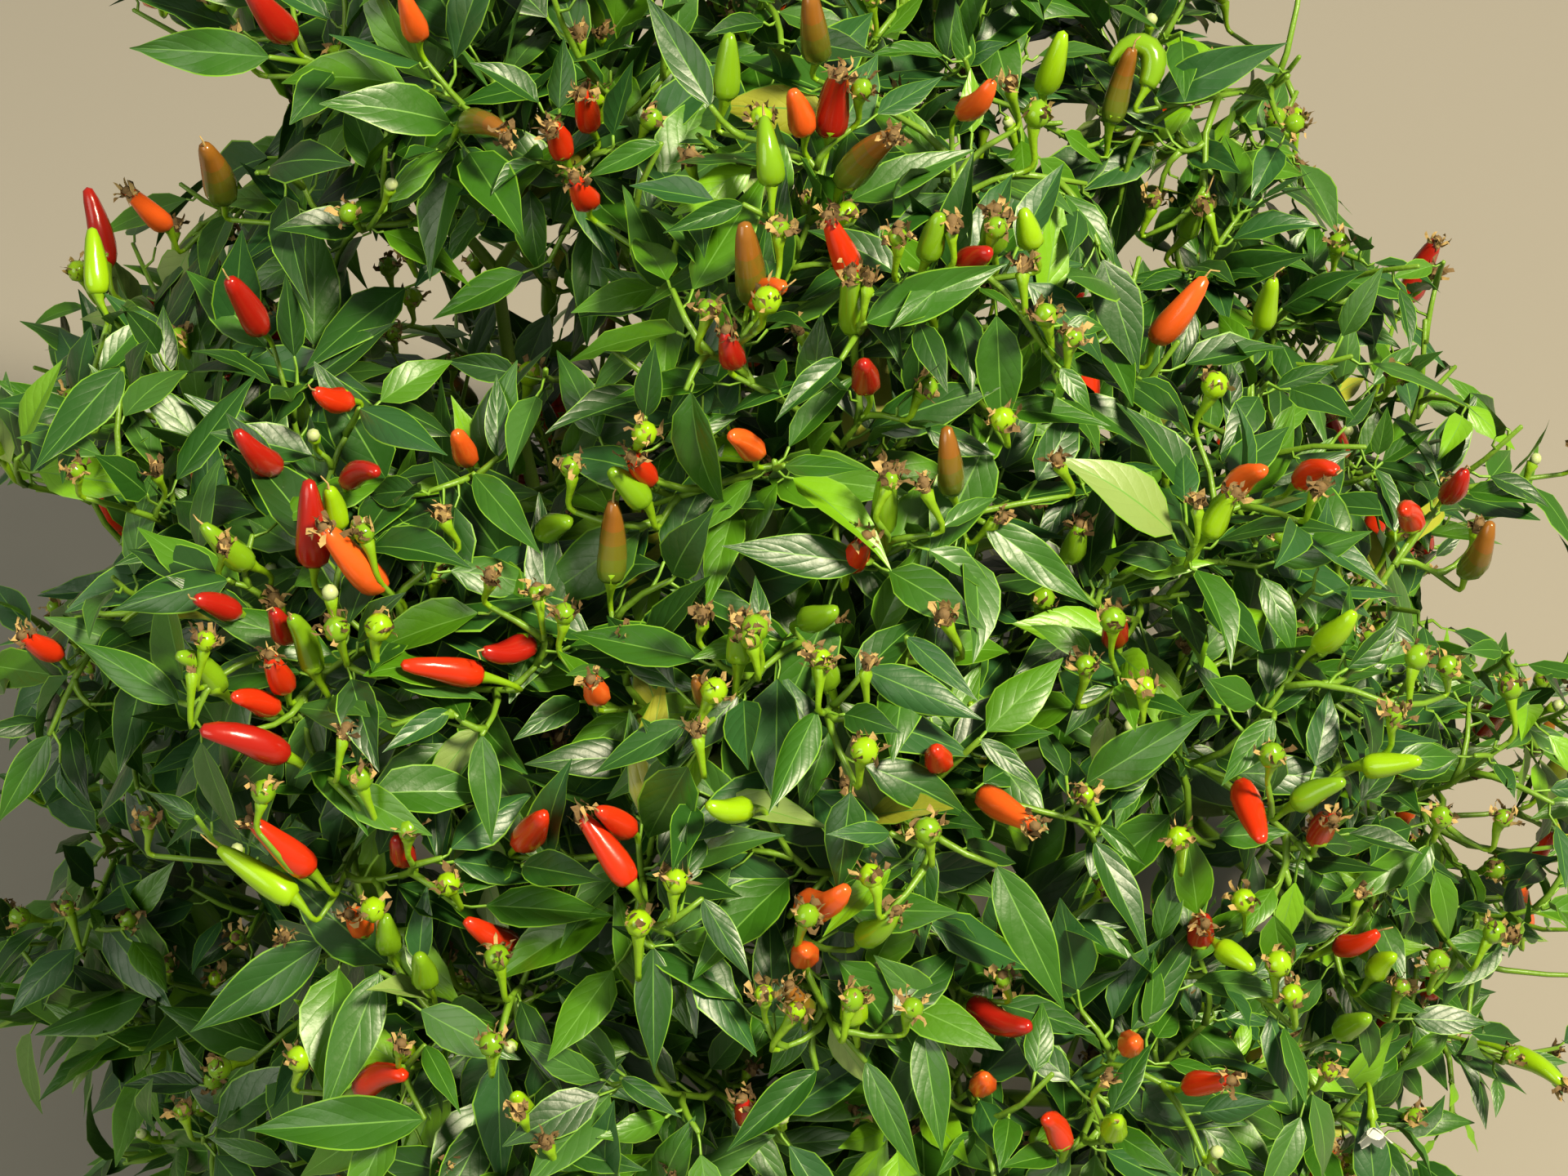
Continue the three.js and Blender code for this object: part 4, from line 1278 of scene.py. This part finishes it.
# Skins: the range of roughness, and the relief's spots a metre and strength.
BLADE = ((0.31, 0.48), 420, 0.2)
RIB = ((0.35, 0.5), 900, 0.1)
GLOSSY = ((0.16, 0.28), 300, 0.12)
GLOSSIEST = ((0.14, 0.24), 300, 0.12)
DRY = ((0.7, 0.9), 900, 0.6)
BLADE_SPECULAR = 0.55
RELIEF_DISTANCE = 0.0006
SPOT_DETAIL = 3

# Side veins: how many run along the leaf, their slant, and how they and the fine spots stand out.
VEINS_ALONG = 19.0
VEIN_SLANT = 13.0
VEIN_POWER = 0.35
VEIN_HEIGHT = 0.8
SPOT_HEIGHT = 1.2

# The materials of each kind of piece, in the order of its slots. Each has a name, a colour and a skin.
MATERIALS = {
    "leaves": [
        # The margin's lime is partly the leaf's own paler edge and partly a painted highlight where the
        # curled edges catch the light.
        ("leaf_margin", (0.15, 0.33, 0.018), *RIB),
        ("leaf_midrib", (0.11, 0.26, 0.035), *RIB),
        *((name, colour, *BLADE) for name, colour in TINTS.items()),
    ],
    "twigs": [
        ("twig_green", (0.135, 0.27, 0.014), (0.35, 0.5), 700, 0.3),
        ("petiole_green", (0.18, 0.36, 0.03), (0.35, 0.5), 700, 0.2),
    ],
    "stalks": [("stalk_green", (0.19, 0.36, 0.005), (0.3, 0.45), 600, 0.3)],
    "fruit": [
        ("pod_scarlet", (0.55, 0.026, 0.004), *GLOSSY),
        ("pod_crimson", (0.34, 0.011, 0.005), *GLOSSY),
        ("pod_orange", (0.72, 0.1, 0.012), *GLOSSY),
        ("pod_lime", (0.25, 0.45, 0.005), *GLOSSIEST),
        ("pod_grass", (0.16, 0.32, 0.008), *GLOSSIEST),
        *((f"pod_turning_{step + 1}", turning_colour(step), *GLOSSY) for step in range(TURNING_STEPS)),
    ],
    "corollas": [
        ("corolla_tan", (0.4, 0.27, 0.095), *DRY),
        ("corolla_dark", (0.15, 0.09, 0.03), *DRY),
    ],
    "flowers": [
        ("petal_white", (0.82, 0.83, 0.74), (0.4, 0.6), 900, 0.2),
        ("anther_slate", (0.1, 0.11, 0.16), (0.5, 0.7), 900, 0.3),
        ("bud_pale", (0.42, 0.5, 0.22), (0.35, 0.5), 900, 0.2),
    ],
    "bark": [
        ("bark_woody", (0.15, 0.12, 0.075), (0.65, 0.9), 260, 0.8),
        ("bark_olive", (0.12, 0.135, 0.045), (0.5, 0.7), 320, 0.6),
        ("bark_green", (0.11, 0.2, 0.03), (0.4, 0.6), 380, 0.4),
    ],
}


def make_material(name, colour, roughness, grain, bump):
    """A plain base colour, with fine chance variation in gloss and relief."""
    material = bpy.data.materials.new(name)
    material.use_nodes = True
    nodes, links = material.node_tree.nodes, material.node_tree.links
    shader = nodes["Principled BSDF"]
    shader.inputs["Base Color"].default_value = (*colour, 1)
    place = nodes.new("ShaderNodeTexCoord")
    spots = nodes.new("ShaderNodeTexNoise")
    spots.inputs["Scale"].default_value = grain
    spots.inputs["Detail"].default_value = SPOT_DETAIL
    links.new(place.outputs["Object"], spots.inputs["Vector"])
    gloss = nodes.new("ShaderNodeMapRange")
    gloss.inputs["To Min"].default_value, gloss.inputs["To Max"].default_value = roughness
    links.new(spots.outputs["Fac"], gloss.inputs["Value"])
    links.new(gloss.outputs["Result"], shader.inputs["Roughness"])
    relief = nodes.new("ShaderNodeBump")
    relief.inputs["Strength"].default_value = bump
    relief.inputs["Distance"].default_value = RELIEF_DISTANCE
    links.new(spots.outputs["Fac"], relief.inputs["Height"])
    links.new(relief.outputs["Normal"], shader.inputs["Normal"])
    return material


def finish_blade(material):
    """A leaf's gloss, and side veins that leave the midrib at a slant, drawn by the leaf's own places."""
    nodes, links = material.node_tree.nodes, material.node_tree.links
    nodes["Principled BSDF"].inputs["Specular IOR Level"].default_value = BLADE_SPECULAR
    places = nodes.new("ShaderNodeUVMap")
    places.uv_map = "place"
    split = nodes.new("ShaderNodeSeparateXYZ")
    links.new(places.outputs["UV"], split.inputs["Vector"])

    def reckon(kind, *values):
        node = nodes.new("ShaderNodeMath")
        node.operation = kind
        for socket, value in zip(node.inputs, values):
            if isinstance(value, float):
                socket.default_value = value
            else:
                links.new(value, socket)
        return node.outputs[0]

    aside = reckon("ABSOLUTE", reckon("SUBTRACT", split.outputs["X"], 0.5))
    along = reckon("MULTIPLY", split.outputs["Y"], VEINS_ALONG)
    slant = reckon("SUBTRACT", along, reckon("MULTIPLY", aside, VEIN_SLANT))
    wave = reckon("ABSOLUTE", reckon("SINE", slant))
    vein = reckon("MULTIPLY", reckon("POWER", wave, VEIN_POWER), VEIN_HEIGHT)
    grain = reckon("MULTIPLY", nodes["Noise Texture"].outputs["Fac"], SPOT_HEIGHT)
    links.new(reckon("ADD", vein, grain), nodes["Bump"].inputs["Height"])


def place_piece(piece, nodes):
    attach(piece, "root")
    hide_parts(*nodes)


def make_plant():
    plant = Plant()
    for i, mass in enumerate(plant.masses):
        grow_mass(i, mass)
    rng = np.random.default_rng(PHOTO_SEED)
    fruit_from_photo(plant, RIPE_PIXELS, RIPE_LENGTHS, RIPE_SLOTS, rng)
    fruit_from_photo(plant, GREEN_PIXELS, GREEN_LENGTHS, GREEN_SLOTS, rng)
    fruit_from_photo(plant, TURNING_PIXELS, RIPE_LENGTHS, (TURNING,), rng)
    bear_hooked_pod(plant)
    grow_hollow_stem(plant)
    young_from_photo(plant, rng)
    leaves_from_photo(plant, rng)
    sprays_from_photo(plant, rng)
    for i, mass in enumerate(plant.masses):
        dress_mass(plant, i, mass)
    return plant


def place_plant(plant):
    """One piece for each kind of thing in each mass, and one for the bark of all limbs."""
    materials = {kind: [make_material(*row) for row in rows] for kind, rows in MATERIALS.items()}
    for blade in materials["leaves"][FIRST_TINT_SLOT:]:
        finish_blade(blade)
    for mass in plant.masses:
        for kind, pile in mass.piles.items():
            piece = pile.build(f"{kind}_{mass.name}", materials[kind])
            place_piece(piece, ["mass_" + mass.name])
    boughs = ["bough_" + mass.name for mass in plant.masses]
    place_piece(draw_bark(plant.limbs).build("bark", materials["bark"]), ["trunk", *boughs])


def aim(item, place, direction):
    """Puts a camera or a lamp at a place, facing a direction."""
    item.location = place
    item.rotation_mode = "QUATERNION"
    item.rotation_quaternion = Vector(direction).to_track_quat("-Z", "Y")


def make_camera():
    camera = place_object("camera", bpy.data.cameras.new("camera"))
    camera.data.lens = CAMERA_LENS
    camera.data.sensor_width = CAMERA_SENSOR
    aim(camera, CAMERA_PLACE, -CAMERA_BACK)
    bpy.context.scene.camera = camera


def make_floor():
    half = FLOOR_HALF_WIDTH
    mesh = bpy.data.meshes.new("floor")
    corners = [(-half, -half, 0), (half, -half, 0), (half, half, 0), (-half, half, 0)]
    mesh.from_pydata(corners, [], [(0, 1, 2, 3)])
    mesh.materials.append(make_material("floor_pale", FLOOR_COLOUR, (0.8, 0.95), 60, 0.1))
    floor = place_object("floor", mesh)


def make_light(name, place, size, power, colour):
    light = bpy.data.lights.new(name, "AREA")
    light.shape = "DISK"
    light.size, light.energy, light.color = size, power, colour
    aim(place_object(name, light), place, CAMERA_TARGET - np.array(place))


def make_lights():
    make_light("key", place=(1.0, -0.5, 2.2), size=0.4, power=108, colour=(1.0, 0.89, 0.64))
    make_light("fill", place=(-1.5, -1.3, 1.6), size=1.6, power=22, colour=(1.0, 0.97, 0.82))
    world = bpy.data.worlds.new("studio")
    bpy.context.scene.world = world
    world.use_nodes = True
    sky = world.node_tree.nodes["Background"]
    sky.inputs["Color"].default_value = SKY_COLOUR
    sky.inputs["Strength"].default_value = SKY_STRENGTH
    bpy.context.scene.view_settings.view_transform = "Standard"


place_plant(make_plant())
make_camera()
make_floor()
make_lights()
